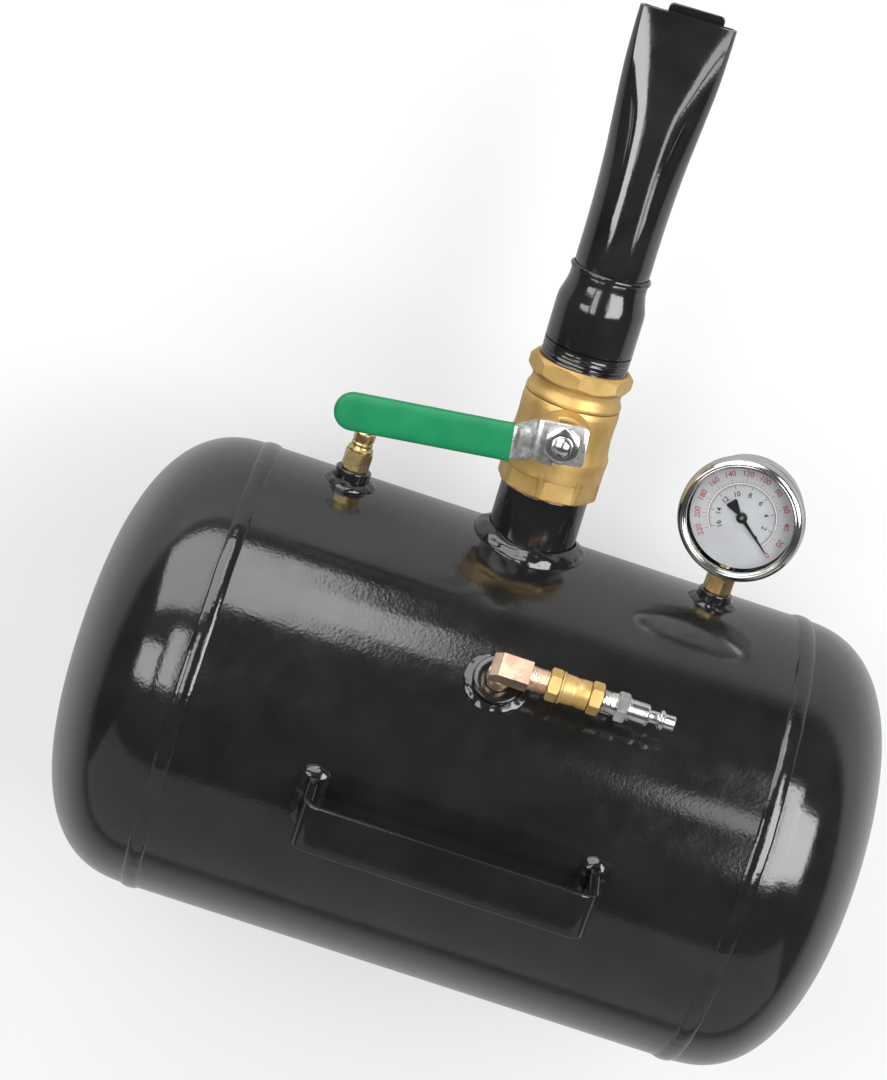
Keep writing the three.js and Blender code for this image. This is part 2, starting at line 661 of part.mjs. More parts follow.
// One cross-section of the barrel: an ellipse that squares up as it flattens.
function barrelLoop(y, halfWidth, halfThick, power) {
  const loop = [];
  for (let i = 0; i < BARREL.sides; i += 1) {
    const angle = (2 * Math.PI * i) / BARREL.sides;
    const [c, s] = [Math.cos(angle), Math.sin(angle)];
    const x = halfWidth * Math.sign(c) * Math.abs(c) ** (2 / power);
    const z = halfThick * Math.sign(s) * Math.abs(s) ** (2 / power);
    loop.push(new THREE.Vector3(x, y, z));
  }
  return loop;
}

// Height, half width, half thickness and squareness of the barrel's outside.
const BARREL_SECTIONS = [
  [BARREL.foot, BARREL.r, BARREL.r, 2],
  [ADAPTER.top + 1, BARREL.r, BARREL.r, 2],
  [288, 20.4, 20.4, 2],
  [322, 20.7, 19.2, 2],
  [348, 21.8, 17, 2.2],
  [374, 24, 13, 2.5],
  [400, 25.8, 8.6, 3],
  [BARREL.lip, 25.9, 4.5, 4],
];

function barrelTube() {
  const outer = BARREL_SECTIONS.map(([y, a, b, n]) => barrelLoop(y, a, b, n));
  const inner = BARREL_SECTIONS.map(([y, a, b, n]) => barrelLoop(y, a - BARREL.wall, b - BARREL.wall, n));
  return loft([...outer, ...inner.reverse()]);
}

function addBarrel() {
  const group = leaningPort();
  const socket = BARREL.r + GAP;
  add("barrel_adapter", "blackPaint", turned([
    [ADAPTER.bore, ADAPTER.foot], [ADAPTER.thread, ADAPTER.foot], [ADAPTER.thread, ADAPTER.threadTop],
    [ADAPTER.r, ADAPTER.threadTop + 1], [ADAPTER.r, ADAPTER.bell],
    [ADAPTER.shoulderR, ADAPTER.shoulder], [ADAPTER.neck, ADAPTER.neckFoot],
    [ADAPTER.neck, ADAPTER.top], [socket, ADAPTER.top], [socket, BARREL.foot - GAP],
    [ADAPTER.bore, BARREL.foot - GAP],
  ], 24), group);
  add("barrel_tube", "blackPaint", barrelTube(), group);
  add("barrel_weld", "blackPaint", turned([
    [socket + 0.6, ADAPTER.top + GAP], [ADAPTER.neck + 0.6, ADAPTER.top + GAP],
    [ADAPTER.neck + 0.4, ADAPTER.top + 2], [socket + 1.1, ADAPTER.top + 3],
  ], 24), group);
  const [nearSection, lipSection] = BARREL_SECTIONS.slice(-2);
  const back = -(nearSection[2] + GAP + 0.2);
  const lipBack = -(lipSection[2] + TAB.standOff);
  const side = new THREE.Shape([
    [TAB.foot, back], [TAB.top, lipBack], [TAB.top, lipBack - TAB.thick],
    [TAB.foot, back - TAB.thick],
  ].map(([y, z]) => new THREE.Vector2(-z, y)));
  const tab = plate(side, TAB.x - TAB.width / 2, TAB.x + TAB.width / 2).rotateY(Math.PI / 2);
  add("rim_tab", "blackPaint", tab, group);
}

function addRelief() {
  const group = port(RELIEF_X, 0);
  const R = RELIEF;
  const body = cut(
    join(
      rod(BOSS.threadR, BOSS.foot, R.bossTop + GAP + 1, 12),
      flats(R.hex, R.bossTop + GAP, R.hexTop, 6),
      rod(7.2, R.hexTop - 0.5, R.ringTop, 12),
      rod(R.skirt, R.ringTop - 0.5, R.neckTop, 12),
    ),
    turned([
      [0, BOSS.foot - 1], [R.inlet, BOSS.foot - 1], [R.inlet, R.seat], [R.chamber, R.seat],
      [R.chamber, R.spigotFoot - GAP], [R.socket, R.spigotFoot - GAP], [R.socket, R.neckTop + 1],
      [0, R.neckTop + 1],
    ], 12),
  );
  add("relief_body", "turnedBrass", body, group);
  add("relief_bonnet", "turnedBrass", turned([
    [R.chamber - 0.6, R.spigotFoot], [R.spigot, R.spigotFoot], [R.spigot, R.neckTop + GAP],
    [R.skirt, R.neckTop + GAP], [R.skirt, R.skirtTop], [R.cap, R.skirtTop], [R.cap, R.capTop],
    [R.stemHole, R.capTop], [R.stemHole, R.roof], [R.chamber - 0.6, R.roof],
  ], 12), group);
  const stem = turned([
    [0, R.seat + GAP], [R.disc, R.seat + GAP], [R.disc, R.discTop], [R.stem, R.discTop],
    [R.stem, R.eyeTop - 1], [0, R.eyeTop - 1],
  ], 12);
  const eye = box([-1.5, 1.5], [R.eyeFoot, R.eyeTop], [-3, 3]);
  const hole = rod(R.eyeHole, -4, 4, 10, "x").translate(0, R.eye, 0);
  add("relief_stem", "turnedBrass", cut(join(stem, eye), hole), group);
  add("relief_spring", "springSteel", spring(2.6, 0.4, R.discTop + GAP, R.roof - GAP, 5), group);
  const ring = new THREE.TorusGeometry(RING.r, RING.wire, 5, 12);
  ring.rotateX(Math.PI / 2).translate(0, R.eye, -RING.r);
  add("relief_pull_ring", "springSteel", outward(ring), group);
}

// A C-shaped flat tube from the gauge's block round to its tip.
class Arc extends THREE.Curve {
  constructor(r, from, to) {
    super();
    Object.assign(this, { r, from, to });
  }

  getPoint(t) {
    const angle = this.from + (this.to - this.from) * t;
    return new THREE.Vector3(this.r * Math.cos(angle), this.r * Math.sin(angle), 0);
  }
}

function bourdonTube() {
  const corners = [[-4, -1], [4, -1], [4, 1], [-4, 1]];
  const section = new THREE.Shape(corners.map(([x, y]) => new THREE.Vector2(x, y)));
  const path = new Arc(24, THREE.MathUtils.degToRad(-62), THREE.MathUtils.degToRad(165));
  return outward(new THREE.ExtrudeGeometry(section, { steps: 16, extrudePath: path })).translate(0, 0, -0.9);
}

function sectorGear() {
  const M = MOVEMENT;
  const mesh = Math.atan2(-M.pivotY, -M.pivotX);
  const shape = new THREE.Shape();
  const half = THREE.MathUtils.degToRad(26);
  const lead = mesh + 2 * half - THREE.MathUtils.degToRad(5);
  shape.absarc(0, 0, 2.6, lead, lead - 2 * half + 2 * Math.PI, false);
  shape.absarc(0, 0, M.sectorR, lead - 2 * half, lead, false);
  const blade = plate(shape, -3.2, -2.2, 6);
  return join(blade, rod(1, -7.4, -1.6, 10, "z")).translate(M.pivotX, M.pivotY, 0);
}

function pointerBlade() {
  const P = POINTER;
  const shape = new THREE.Shape();
  const hub = P.hub * 0.9;
  shape.moveTo(0.35, -P.length);
  shape.lineTo(1.1, -hub);
  shape.lineTo(1.1, hub);
  shape.lineTo(3.3, P.tail);
  shape.lineTo(-3.3, P.tail);
  shape.lineTo(-1.1, hub);
  shape.lineTo(-1.1, -hub);
  shape.lineTo(-0.35, -P.length);
  const blade = plate(shape, P.bottom, P.top);
  const hole = rod(P.shaft + 0.15, P.bottom - 1, P.top + 2, 12, "z");
  const hubDisc = rod(P.hub, P.bottom, P.top + 0.6, 16, "z");
  return cut(join(blade, hubDisc), hole).rotateZ(SWEEP_START + Math.PI / 2);
}

function addGauge() {
  const G = GAUGE;
  const M = MOVEMENT;
  const stand = port(GAUGE_X, 0);
  const head = new THREE.Group();
  head.rotation.y = THREE.MathUtils.degToRad(G.turn);
  stand.add(head);
  const face = new THREE.Group();
  face.position.y = G.y;
  head.add(face);
  const socket = cut(
    join(
      rod(BOSS.threadR, BOSS.foot, G.bossTop + GAP + 1, 12),
      flats(G.hex, G.bossTop + GAP, G.hexTop, 6),
      rod(G.neck, G.hexTop - 1, G.blockFoot + 1, 12),
      box([-8, 8], [G.blockFoot, G.blockTop], [-5, 5]),
    ),
    rod(2, BOSS.foot - 1, G.blockFoot + 6, 8),
  );
  add("gauge_socket", "turnedBrass", socket, head);
  const can = turned([
    [0, G.caseBack], [G.caseR - 2, G.caseBack], [G.caseR, G.caseBack + 2], [G.caseR, G.caseRim],
    [G.caseR - G.wall, G.caseRim], [G.caseR - G.wall, G.caseBack + G.wall], [0, G.caseBack + G.wall],
  ], G.sides, "z");
  const stemHole = rod(G.neck + GAP, -G.caseR - 1, -G.caseR + 6, 12);
  add("gauge_case", "stainless", cut(can, stemHole), face);
  add("gauge_bezel", "stainless", turned([
    [G.caseR + 0.4, G.bezelBack], [G.bezelR, G.bezelBack], [G.bezelR, 13], [31.8, G.bezelFront],
    [G.sight + 0.8, G.bezelFront], [G.sight, G.lensTop + 0.5], [G.caseR + 0.4, G.lensTop + 0.5],
  ], G.sides, "z"), face);
  add("gauge_lens", "clearGlass", rod(G.caseR, G.caseRim + GAP, G.lensTop, G.sides, "z"), face);
  const dialTop = G.dialZ + G.dialThick;
  add("gauge_dial", "dialFace", tube(2.4, G.dialR, G.dialZ, dialTop, G.sides, "z"), face);
  add("bourdon_tube", "turnedBrass", bourdonTube(), face);
  const plateBlank = box([-13.5, 5], [-24, 5], [M.back, M.plateTop]);
  const holes = [[0, 0], [M.pivotX, M.pivotY]].map(([x, y]) => rod(1.3, -8, -4, 10, "z").translate(x, y, 0));
  add("movement_plate", "turnedBrass", cut(plateBlank, ...holes), face);
  add("sector_gear", "turnedBrass", sectorGear(), face);
  add("pointer_shaft", "plainSteel", turned([
    [0, -7.4], [POINTER.shaft, -7.4], [POINTER.shaft, -3.6], [M.pinionR, -3.6],
    [M.pinionR, -1.8], [POINTER.shaft, -1.8], [POINTER.shaft, POINTER.top + 0.4], [0, POINTER.top + 0.4],
  ], 12, "z"), face);
  add("pointer", "pointerBlack", pointerBlade(), face);
}

function addInlet() {
  const group = port(INLET_X, INLET_ANGLE);
  const line = new THREE.Group();
  line.position.y = INLET.armY;
  group.add(line);
  const E = ELBOW;
  const armHalf = E.arm / 2;
  const rise = INLET.armY;
  const elbow = cut(
    join(
      box([E.corner, E.armEnd], [-armHalf, armHalf], [-armHalf, armHalf]),
      rod(E.leg, INLET.bossTop + GAP - rise, 0, 16),
      rod(BOSS.threadR, BOSS.foot - rise, INLET.bossTop - rise + 1, 16),
      rod(E.threadR, E.armEnd - 1, E.threadEnd, 16, "x"),
    ),
    rod(E.bore, BOSS.foot - rise - 1, 0, 12),
    rod(E.bore, 0, E.threadEnd + 1, 12, "x"),
  );
  add("inlet_elbow", "forgedBrass", elbow, line);
  const C = CHECK;
  const body = cut(
    join(
      flats(C.hex, C.foot, C.hexEnd, 6, "x"),
      rod(C.ringR, C.hexEnd - 0.5, C.ringEnd, 16, "x"),
      rod(C.r, C.ringEnd - 0.5, C.end, 16, "x"),
    ),
    turned([
      [0, C.foot - 1], [C.thread, C.foot - 1], [C.thread, C.threadEnd], [C.hole, C.threadEnd],
      [C.hole, C.seatWall], [C.chamber, C.seatWall], [C.chamber, C.socketFoot],
      [C.socket, C.socketFoot], [C.socket, C.end + 1], [0, C.end + 1],
    ], 14, "x"),
  );
  add("check_valve_body", "castBrass", body, line);
  const end = cut(
    join(rod(C.spigot, C.spigotFoot, C.capFoot + 1, 16, "x"), flats(C.hex, C.capFoot, C.capEnd, 6, "x")),
    turned([
      [0, C.spigotFoot - 1], [C.hole, C.spigotFoot - 1], [C.hole, PLUG.foot - GAP],
      [C.plugThread, PLUG.foot - GAP], [C.plugThread, C.capEnd + 1], [0, C.capEnd + 1],
    ], 14, "x"),
  );
  add("check_valve_end", "castBrass", end, line);
  add("check_poppet", "turnedBrass", turned([
    [0, POPPET.tip], [POPPET.stem, POPPET.tip], [POPPET.stem, POPPET.back], [POPPET.r, POPPET.back],
    [POPPET.r, POPPET.face], [0, POPPET.face],
  ], 12, "x"), line);
  const coil = spring(3.6, 0.4, C.seatWall + GAP, POPPET.back - GAP, 4).applyMatrix4(TURN_TO.x);
  add("check_spring", "springSteel", coil, line);
  const P = PLUG;
  const plug = cut(
    join(
      turned([
        [0, P.foot], [P.thread, P.foot], [P.thread, P.threadEnd + 1], [P.r, P.threadEnd + 1],
        [P.r, P.bodyEnd], [P.neck, P.bodyEnd + 1], [P.neck, P.ringFoot], [P.ring, P.ringFoot + 0.8],
        [P.ring, P.ringEnd - 0.8], [P.nose, P.ringEnd], [P.nose, P.end], [0, P.end],
      ], 16, "x"),
      flats(P.hex, P.threadEnd, P.hexEnd, 6, "x"),
    ),
    rod(P.bore, P.foot - 1, P.end + 1, 12, "x"),
  );
  add("air_plug", "nickel", plug, line);
}

addTank();
addHandle();
addFeet();
addBosses();
addOutlet();
addValve();
addBarrel();
addRelief();
addGauge();
addInlet();

// Stand the tank on its feet, with the origin under the middle of its box.
const backOfBox = -(RUN + GIRTH_WELD.rise);
const tabCorner = new THREE.Vector3(TAB.x + TAB.width / 2, TAB.top - TANK_R, 0);
const frontOfBox = TANK_R + tabCorner.applyAxisAngle(new THREE.Vector3(0, 0, 1), BARREL_LEAN).y;
tankGroup.position.set(0, -(backOfBox + frontOfBox) / 2, GROUND);

export default tankGroup;
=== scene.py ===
"""Bead seater blaster tank: the looks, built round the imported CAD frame.

Lengths written in millimetres are turned into metres by the port matrices.
A port frame has +Y out of the shell, X along the tank and Z across it.
"""

import json
import math

import bmesh
import bpy
from mathutils import Matrix, Vector, noise


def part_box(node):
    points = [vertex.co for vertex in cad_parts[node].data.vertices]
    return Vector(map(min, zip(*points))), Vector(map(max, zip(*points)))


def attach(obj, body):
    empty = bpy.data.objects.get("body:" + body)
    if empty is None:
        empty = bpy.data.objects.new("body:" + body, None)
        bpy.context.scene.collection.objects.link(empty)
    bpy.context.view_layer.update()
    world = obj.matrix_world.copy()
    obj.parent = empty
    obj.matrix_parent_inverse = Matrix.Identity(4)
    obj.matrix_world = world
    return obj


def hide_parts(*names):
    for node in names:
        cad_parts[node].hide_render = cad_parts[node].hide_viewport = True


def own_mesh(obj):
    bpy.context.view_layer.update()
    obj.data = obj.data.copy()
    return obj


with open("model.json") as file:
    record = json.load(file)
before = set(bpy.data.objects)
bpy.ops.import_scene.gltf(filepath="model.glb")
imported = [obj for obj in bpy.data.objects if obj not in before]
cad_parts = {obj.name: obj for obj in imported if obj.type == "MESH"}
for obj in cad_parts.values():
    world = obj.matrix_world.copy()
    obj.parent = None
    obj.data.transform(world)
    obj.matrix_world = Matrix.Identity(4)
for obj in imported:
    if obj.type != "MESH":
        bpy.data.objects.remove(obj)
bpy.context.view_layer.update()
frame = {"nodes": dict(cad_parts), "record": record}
nodes = frame["nodes"]
MM = 0.001
TAU = 2 * math.pi

# ---- Places, worked out from the frame ----

shell_low, shell_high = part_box("tank_shell")
CENTRE = (shell_low + shell_high) / 2
TANK_R = (shell_high.z - shell_low.z) / 2 / MM
SEAM_GAP = 0.15
SEAM = (shell_high.x - shell_low.x) / 2 / MM + SEAM_GAP


def middle(node):
    low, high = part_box(node)
    return ((low + high) / 2 - CENTRE) / MM


RELIEF_X = middle("relief_boss").x
GAUGE_X = middle("gauge_boss").x
INLET_X = middle("inlet_boss_weld").x
BARREL_X = middle("outlet_weld").x
handle_low, handle_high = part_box("carry_handle")
HANDLE_HALF = (handle_high.x - handle_low.x) / 2 / MM
HANDLE_TOP = (handle_high - CENTRE).z / MM
FOOT_X = middle("foot_right").x
GROUND = -(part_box("foot_right")[0] - CENTRE).z / MM

# How far the inlet's port, the barrel, the gauge and the lever are turned.
INLET_ANGLE = math.radians(50.5)
BARREL_LEAN = math.radians(2)
GAUGE_TURN = math.radians(-10.5)
LEVER_TURN = math.radians(5.5)

# Heights above the tank's axis, each in its port frame.
VALVE_Y = 198.7
GAUGE_Y = 180
INLET_LINE_Y = 151


def port(x, angle):
    """Matrix of a port frame, millimetres to metres, at x along the tank."""
    place = Matrix.Translation(CENTRE + Vector((x * MM, 0, 0)))
    return place @ Matrix.Rotation(angle, 4, "X") @ Matrix.Scale(MM, 4)


def leaning_port():
    """The barrel's port frame, which leans about the point where its axis leaves the shell."""
    pivot = Matrix.Translation(CENTRE + Vector((BARREL_X, TANK_R, 0)) * MM)
    drop = Matrix.Translation(Vector((0, -TANK_R * MM, 0)))
    return pivot @ Matrix.Rotation(BARREL_LEAN, 4, "Z") @ drop @ Matrix.Scale(MM, 4)


def shifted(matrix, x=0, y=0, z=0):
    return matrix @ Matrix.Translation(Vector((x, y, z)))


TANK_PORT = port(0, 0)
HANDLE_PORT = port(0, math.pi / 2)
BARREL_PORT = leaning_port()
VALVE = shifted(BARREL_PORT, y=VALVE_Y)
LEVER = VALVE @ Matrix.Rotation(LEVER_TURN, 4, "Z")
RELIEF = port(RELIEF_X, 0)
GAUGE_STAND = port(GAUGE_X, 0) @ Matrix.Rotation(GAUGE_TURN, 4, "Y")
GAUGE_FACE = shifted(GAUGE_STAND, y=GAUGE_Y)
INLET = port(INLET_X, INLET_ANGLE)
INLET_LINE = shifted(INLET, y=INLET_LINE_Y)

# Turns a shape made round +Y so that it stands along +X or +Z instead.
ALONG_X = Matrix.Rotation(-math.pi / 2, 4, "Z")
ALONG_Z = Matrix.Rotation(math.pi / 2, 4, "X")


# ---- Materials ----


def link(tree, source, output, target, socket):
    tree.links.new(source.outputs[output], target.inputs[socket])


def noise_node(tree, coords, scale, detail):
    texture = tree.nodes.new("ShaderNodeTexNoise")
    texture.inputs["Scale"].default_value = scale
    texture.inputs["Detail"].default_value = detail
    link(tree, coords, "Object", texture, "Vector")
    return texture


def ramp_node(tree, source, output, stops):
    """A colour ramp with two stops, each (place, colour)."""
    ramp = tree.nodes.new("ShaderNodeValToRGB")
    for element, (place, colour) in zip(ramp.color_ramp.elements, stops):
        element.position = place
        element.color = (*colour, 1)
    link(tree, source, output, ramp, "Fac")
    return ramp


def grey(value):
    return (value, value, value)


TONE_DETAIL, TONE_STOPS = 6, (0.32, 0.7)
WEAR_SCALE, WEAR_DETAIL, WEAR_STOPS = 90, 5, (0.3, 0.75)


def surface(name, colours, rough, metal=0, patch=40, bumps=(), coat=0, coat_rough=0.05, specular=0.5):
    """A finish whose colour and roughness drift over the surface, with layered bumps.

    colours and rough are (low, high) pairs, patch is the noise scale of the colour,
    and each bump is (scale, depth in mm, detail)."""
    material = bpy.data.materials.new(name)
    material.use_nodes = True
    tree = material.node_tree
    shader = tree.nodes["Principled BSDF"]
    coords = tree.nodes.new("ShaderNodeTexCoord")
    tone = noise_node(tree, coords, patch, TONE_DETAIL)
    colour = ramp_node(tree, tone, "Fac", zip(TONE_STOPS, colours))
    link(tree, colour, "Color", shader, "Base Color")
    wear = noise_node(tree, coords, WEAR_SCALE, WEAR_DETAIL)
    gloss = ramp_node(tree, wear, "Fac", zip(WEAR_STOPS, map(grey, rough)))
    link(tree, gloss, "Color", shader, "Roughness")
    shader.inputs["Metallic"].default_value = metal
    shader.inputs["Specular IOR Level"].default_value = specular
    shader.inputs["Coat Weight"].default_value = coat
    shader.inputs["Coat Roughness"].default_value = coat_rough
    last = None
    for scale, depth, detail in bumps:
        texture = noise_node(tree, coords, scale, detail)
        bump = tree.nodes.new("ShaderNodeBump")
        bump.inputs["Strength"].default_value = 1
        bump.inputs["Distance"].default_value = depth * MM
        link(tree, texture, "Fac", bump, "Height")
        if last:
            link(tree, last, "Normal", bump, "Normal")
        last = bump
    if last:
        link(tree, last, "Normal", shader, "Normal")
        if coat:
            link(tree, last, "Normal", shader, "Coat Normal")
    return material


def glass():
    material = surface("clear_lens", [(0.97, 0.99, 0.99), (1, 1, 1)], (0, 0.02))
    shader = material.node_tree.nodes["Principled BSDF"]
    shader.inputs["Transmission Weight"].default_value = 1
    shader.inputs["IOR"].default_value = 1.3
    return material


PRINTED = [(1500, 0.008, 2)]
FINISH = {
    "black_paint": surface(
        "black_powder_coat", [(0.006, 0.006, 0.0065), (0.011, 0.011, 0.0115)], (0.1, 0.18),
        patch=30, bumps=[(560, 0.055, 3), (60, 0.07, 2)], coat=0.5),
    "black_weld": surface(
        "black_paint_on_weld", [(0.006, 0.006, 0.0065), (0.012, 0.012, 0.0125)], (0.08, 0.16),
        patch=60, bumps=[(500, 0.05, 3), (140, 0.12, 2)], coat=0.5),
    "black_tube": surface(
        "black_paint_on_tube", [(0.005, 0.005, 0.0055), (0.012, 0.012, 0.013)], (0.1, 0.18),
        patch=30, bumps=[(600, 0.03, 3), (70, 0.06, 2)], coat=0.6),
    "cast_brass": surface(
        "blasted_brass", [(0.52, 0.33, 0.105), (0.66, 0.455, 0.185)], (0.38, 0.5),
        metal=0.7, patch=70, bumps=[(1900, 0.06, 5), (260, 0.12, 3)]),
    "forged_brass": surface(
        "tumbled_brass", [(0.8, 0.5, 0.34), (0.95, 0.74, 0.55)], (0.24, 0.38),
        metal=0.9, patch=120, bumps=[(1500, 0.03, 4), (240, 0.1, 3)]),
    "turned_brass": surface(
        "turned_brass", [(0.5, 0.36, 0.15), (0.76, 0.6, 0.32)], (0.2, 0.36),
        metal=0.95, patch=160, bumps=[(1800, 0.03, 4)]),
    "zinc_steel": surface(
        "zinc_plate", [(0.46, 0.47, 0.47), (0.9, 0.9, 0.88)], (0.22, 0.45),
        metal=0.95, patch=330, bumps=[(900, 0.06, 5)]),
    "nickel": surface(
        "nickel_plate", [(0.72, 0.72, 0.71), (0.9, 0.9, 0.89)], (0.14, 0.26),
        metal=1, patch=200, bumps=[(900, 0.012, 3)]),
    "stainless": surface(
        "polished_stainless", [(0.55, 0.55, 0.54), (0.72, 0.72, 0.71)], (0.1, 0.2),
        metal=1, patch=90, bumps=[(1400, 0.006, 3)]),
    "spring_steel": surface(
        "spring_wire", [(0.4, 0.4, 0.41), (0.62, 0.62, 0.63)], (0.2, 0.34),
        metal=1, patch=200, bumps=[(1500, 0.02, 3)]),
    "green_vinyl": surface(
        "dipped_vinyl", [(0, 0.148, 0.052), (0.002, 0.185, 0.068)], (0.42, 0.52),
        patch=45, bumps=[(700, 0.02, 3), (90, 0.12, 2)], coat=0.05, coat_rough=0.3, specular=0.35),
    "ptfe": surface(
        "seat_plastic", [(0.8, 0.8, 0.77), (0.88, 0.88, 0.85)], (0.4, 0.5),
        patch=90, bumps=[(800, 0.02, 3)]),
    "dial_face": surface(
        "dial_enamel", [(0.6, 0.6, 0.62), (0.66, 0.66, 0.68)], (0.4, 0.5), patch=60, bumps=PRINTED),
    "pointer_black": surface("black_ink", [grey(0.008), grey(0.02)], (0.35, 0.5), patch=200, bumps=PRINTED),
    "red_ink": surface(
        "red_ink", [(0.42, 0.06, 0.07), (0.54, 0.11, 0.11)], (0.4, 0.55), patch=200, bumps=PRINTED),
    "white_ink": surface("white_ink", [grey(0.88), grey(0.95)], (0.35, 0.5), patch=200, bumps=PRINTED),
    "gauge_glass": glass(),
}
SLOT_OF = {row["node"]: row["material_slot"] for row in frame["record"]["subparts"]}


# ---- Mesh helpers ----

CREASE_ANGLE = 38
BEVEL_FROM_ANGLE = 35
MERGE_DISTANCE = 1e-5


def piece(name, rings, matrix, finish, loop=False, sharp=CREASE_ANGLE, body="tank", extra=()):
    """Skins closed rings of points into one solid, in the frame that matrix gives.

    With loop the last ring joins the first; otherwise both ends are closed.
    extra holds more (rings, loop) pairs for the same piece."""
    shape = bmesh.new()
    add_rings(shape, rings, loop)
    for more in extra:
        add_rings(shape, *more)
    return finish_piece(name, shape, matrix, finish, sharp, body)


def add_rings(shape, rings, loop=False):
    rows = [[shape.verts.new(point) for point in ring] for ring in rings]
    count = len(rows[0])
    pairs = list(zip(rows, rows[1:]))
    if loop:
        pairs.append((rows[-1], rows[0]))
    for low, high in pairs:
        for i in range(count):
            j = (i + 1) % count
            shape.faces.new((low[i], low[j], high[j], high[i]))
    if not loop:
        shape.faces.new(rows[0])
        shape.faces.new(list(reversed(rows[-1])))


def finish_piece(name, shape, matrix, finish, sharp=CREASE_ANGLE, body="tank"):
    """Makes the object, which replaces the CAD node of the same name where there is one."""
    bmesh.ops.remove_doubles(shape, verts=shape.verts, dist=MERGE_DISTANCE)
    bmesh.ops.dissolve_degenerate(shape, edges=shape.edges, dist=MERGE_DISTANCE)
    bmesh.ops.recalc_face_normals(shape, faces=shape.faces)
    mesh = bpy.data.meshes.new(name + "_skin")
    shape.to_mesh(mesh)
    shape.free()
    mesh.transform(matrix)
    mesh.validate()
    for face in mesh.polygons:
        face.use_smooth = True
    mesh.set_sharp_from_angle(angle=math.radians(sharp))
    mesh.materials.append(FINISH[finish])
    thing = bpy.data.objects.new(name + "_skin", mesh)
    bpy.context.scene.collection.objects.link(thing)
    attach(thing, body)
    if name in SLOT_OF:
        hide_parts(name)
    return thing


def round_edges(thing, width, segments=3):
    bevel = thing.modifiers.new("edges", "BEVEL")
    bevel.width = width * MM
    bevel.segments = segments
    bevel.limit_method = "ANGLE"
    bevel.angle_limit = math.radians(BEVEL_FROM_ANGLE)
    bevel.harden_normals = True


def ring_round(shape, count=64):
    """A ring of points round Y; shape gives the radius and height at an angle."""
    points = []
    for i in range(count):
        angle = TAU * i / count
        r, height = shape(angle)
        points.append(Vector((r * math.cos(angle), height, r * math.sin(angle))))
    return points


def circle(r, height, count=64):
    return ring_round(lambda angle: (r, height), count)


def lathe(profile, count=64):
    return [circle(r, height, count) for r, height in profile]


ARC_STEPS = 3
EDGE_SHARE = 2.1


def rounded(profile, radius):
    """The same profile with each inner corner rounded; no arc takes half of an edge."""
    out = [profile[0]]
    for before, corner, after in zip(profile, profile[1:], profile[2:]):
        a, b, c = Vector(before), Vector(corner), Vector(after)
        reach = min(radius, (a - b).length / EDGE_SHARE, (c - b).length / EDGE_SHARE)
        start = b + (a - b).normalized() * reach
        end = b + (c - b).normalized() * reach
        for k in range(ARC_STEPS + 1):
            t = k / ARC_STEPS
            out.append(tuple(start * (1 - t) ** 2 + b * 2 * t * (1 - t) + end * t ** 2))
    return out + [profile[-1]]


def flat_radius(across, sides, angle, corner):
    """Distance from the axis to a prism's face at an angle; one corner lies at corner."""
    part = TAU / sides
    return across / 2 / math.cos((angle - corner) % part - part / 2)


def prism_ring(across, sides, corner, height, slope, inside, count):
    """A ring on a prism's faces. Past the radius inside, it rises by slope, as on a cone."""

    def shape(angle):
        r = flat_radius(across, sides, angle, corner)
        return r, height + (r - inside) * slope

    return ring_round(shape, count)


NUT_END = 0.985
NUT_SLOPE = 0.55


def nut(across, low, high, corner, bore):
    """Rings of a hexagon nut whose ends are turned down to a cone, as real nuts are."""
    count = 96
    inside = across / 2 * NUT_END
    return [
        circle(bore, low, count),
        circle(inside, low, count),
        prism_ring(across, 6, corner, low, NUT_SLOPE, inside, count),
        prism_ring(across, 6, corner, high, -NUT_SLOPE, inside, count),
        circle(inside, high, count),
        circle(bore, high, count),
    ]


THREAD_ROWS = 6
THREAD_FADE = 3


def thread(r, depth, pitch, low, high, bore, count=48):
    """A screw thread that starts and runs out gently, with THREAD_ROWS rings to a turn."""

    def thread_ring(height, fade):
        def shape(angle):
            phase = (height / pitch - angle / TAU) % 1
            return r - depth * fade * abs(2 * phase - 1), height

        return ring_round(shape, count)

    rows = int((high - low) / pitch * THREAD_ROWS)
    rings = [circle(bore, low, count)]
    for row in range(rows + 1):
        height = low + (high - low) * row / rows
        fade = min(1, THREAD_FADE * row / rows, THREAD_FADE * (rows - row) / rows)
        rings.append(thread_ring(height, fade))
    rings.append(circle(bore, high, count))
    return rings


WIRE_SIDES = 10


def wire_ring(angle, r, height, wire):
    """The points round a wire of radius wire, where it passes an angle round Y."""
    out = Vector((math.cos(angle), 0, math.sin(angle)))
    turns = [TAU * k / WIRE_SIDES for k in range(WIRE_SIDES)]
    return [out * (r + wire * math.cos(a)) + Vector((0, height + wire * math.sin(a), 0)) for a in turns]


def turned(rings, matrix):
    return [[matrix @ point for point in ring] for ring in rings]


def prism(outline, *levels):
    """Rings of an outline in the XY plane, raised along Z through the levels."""
    return [[Vector((x, y, z)) for x, y in outline] for z in levels]


def shell_height(z, clear=0.3):
    """Height of the shell at z across the tank, with clear added to its radius."""
    run = TANK_R + clear
    return math.sqrt(run * run - z * z)


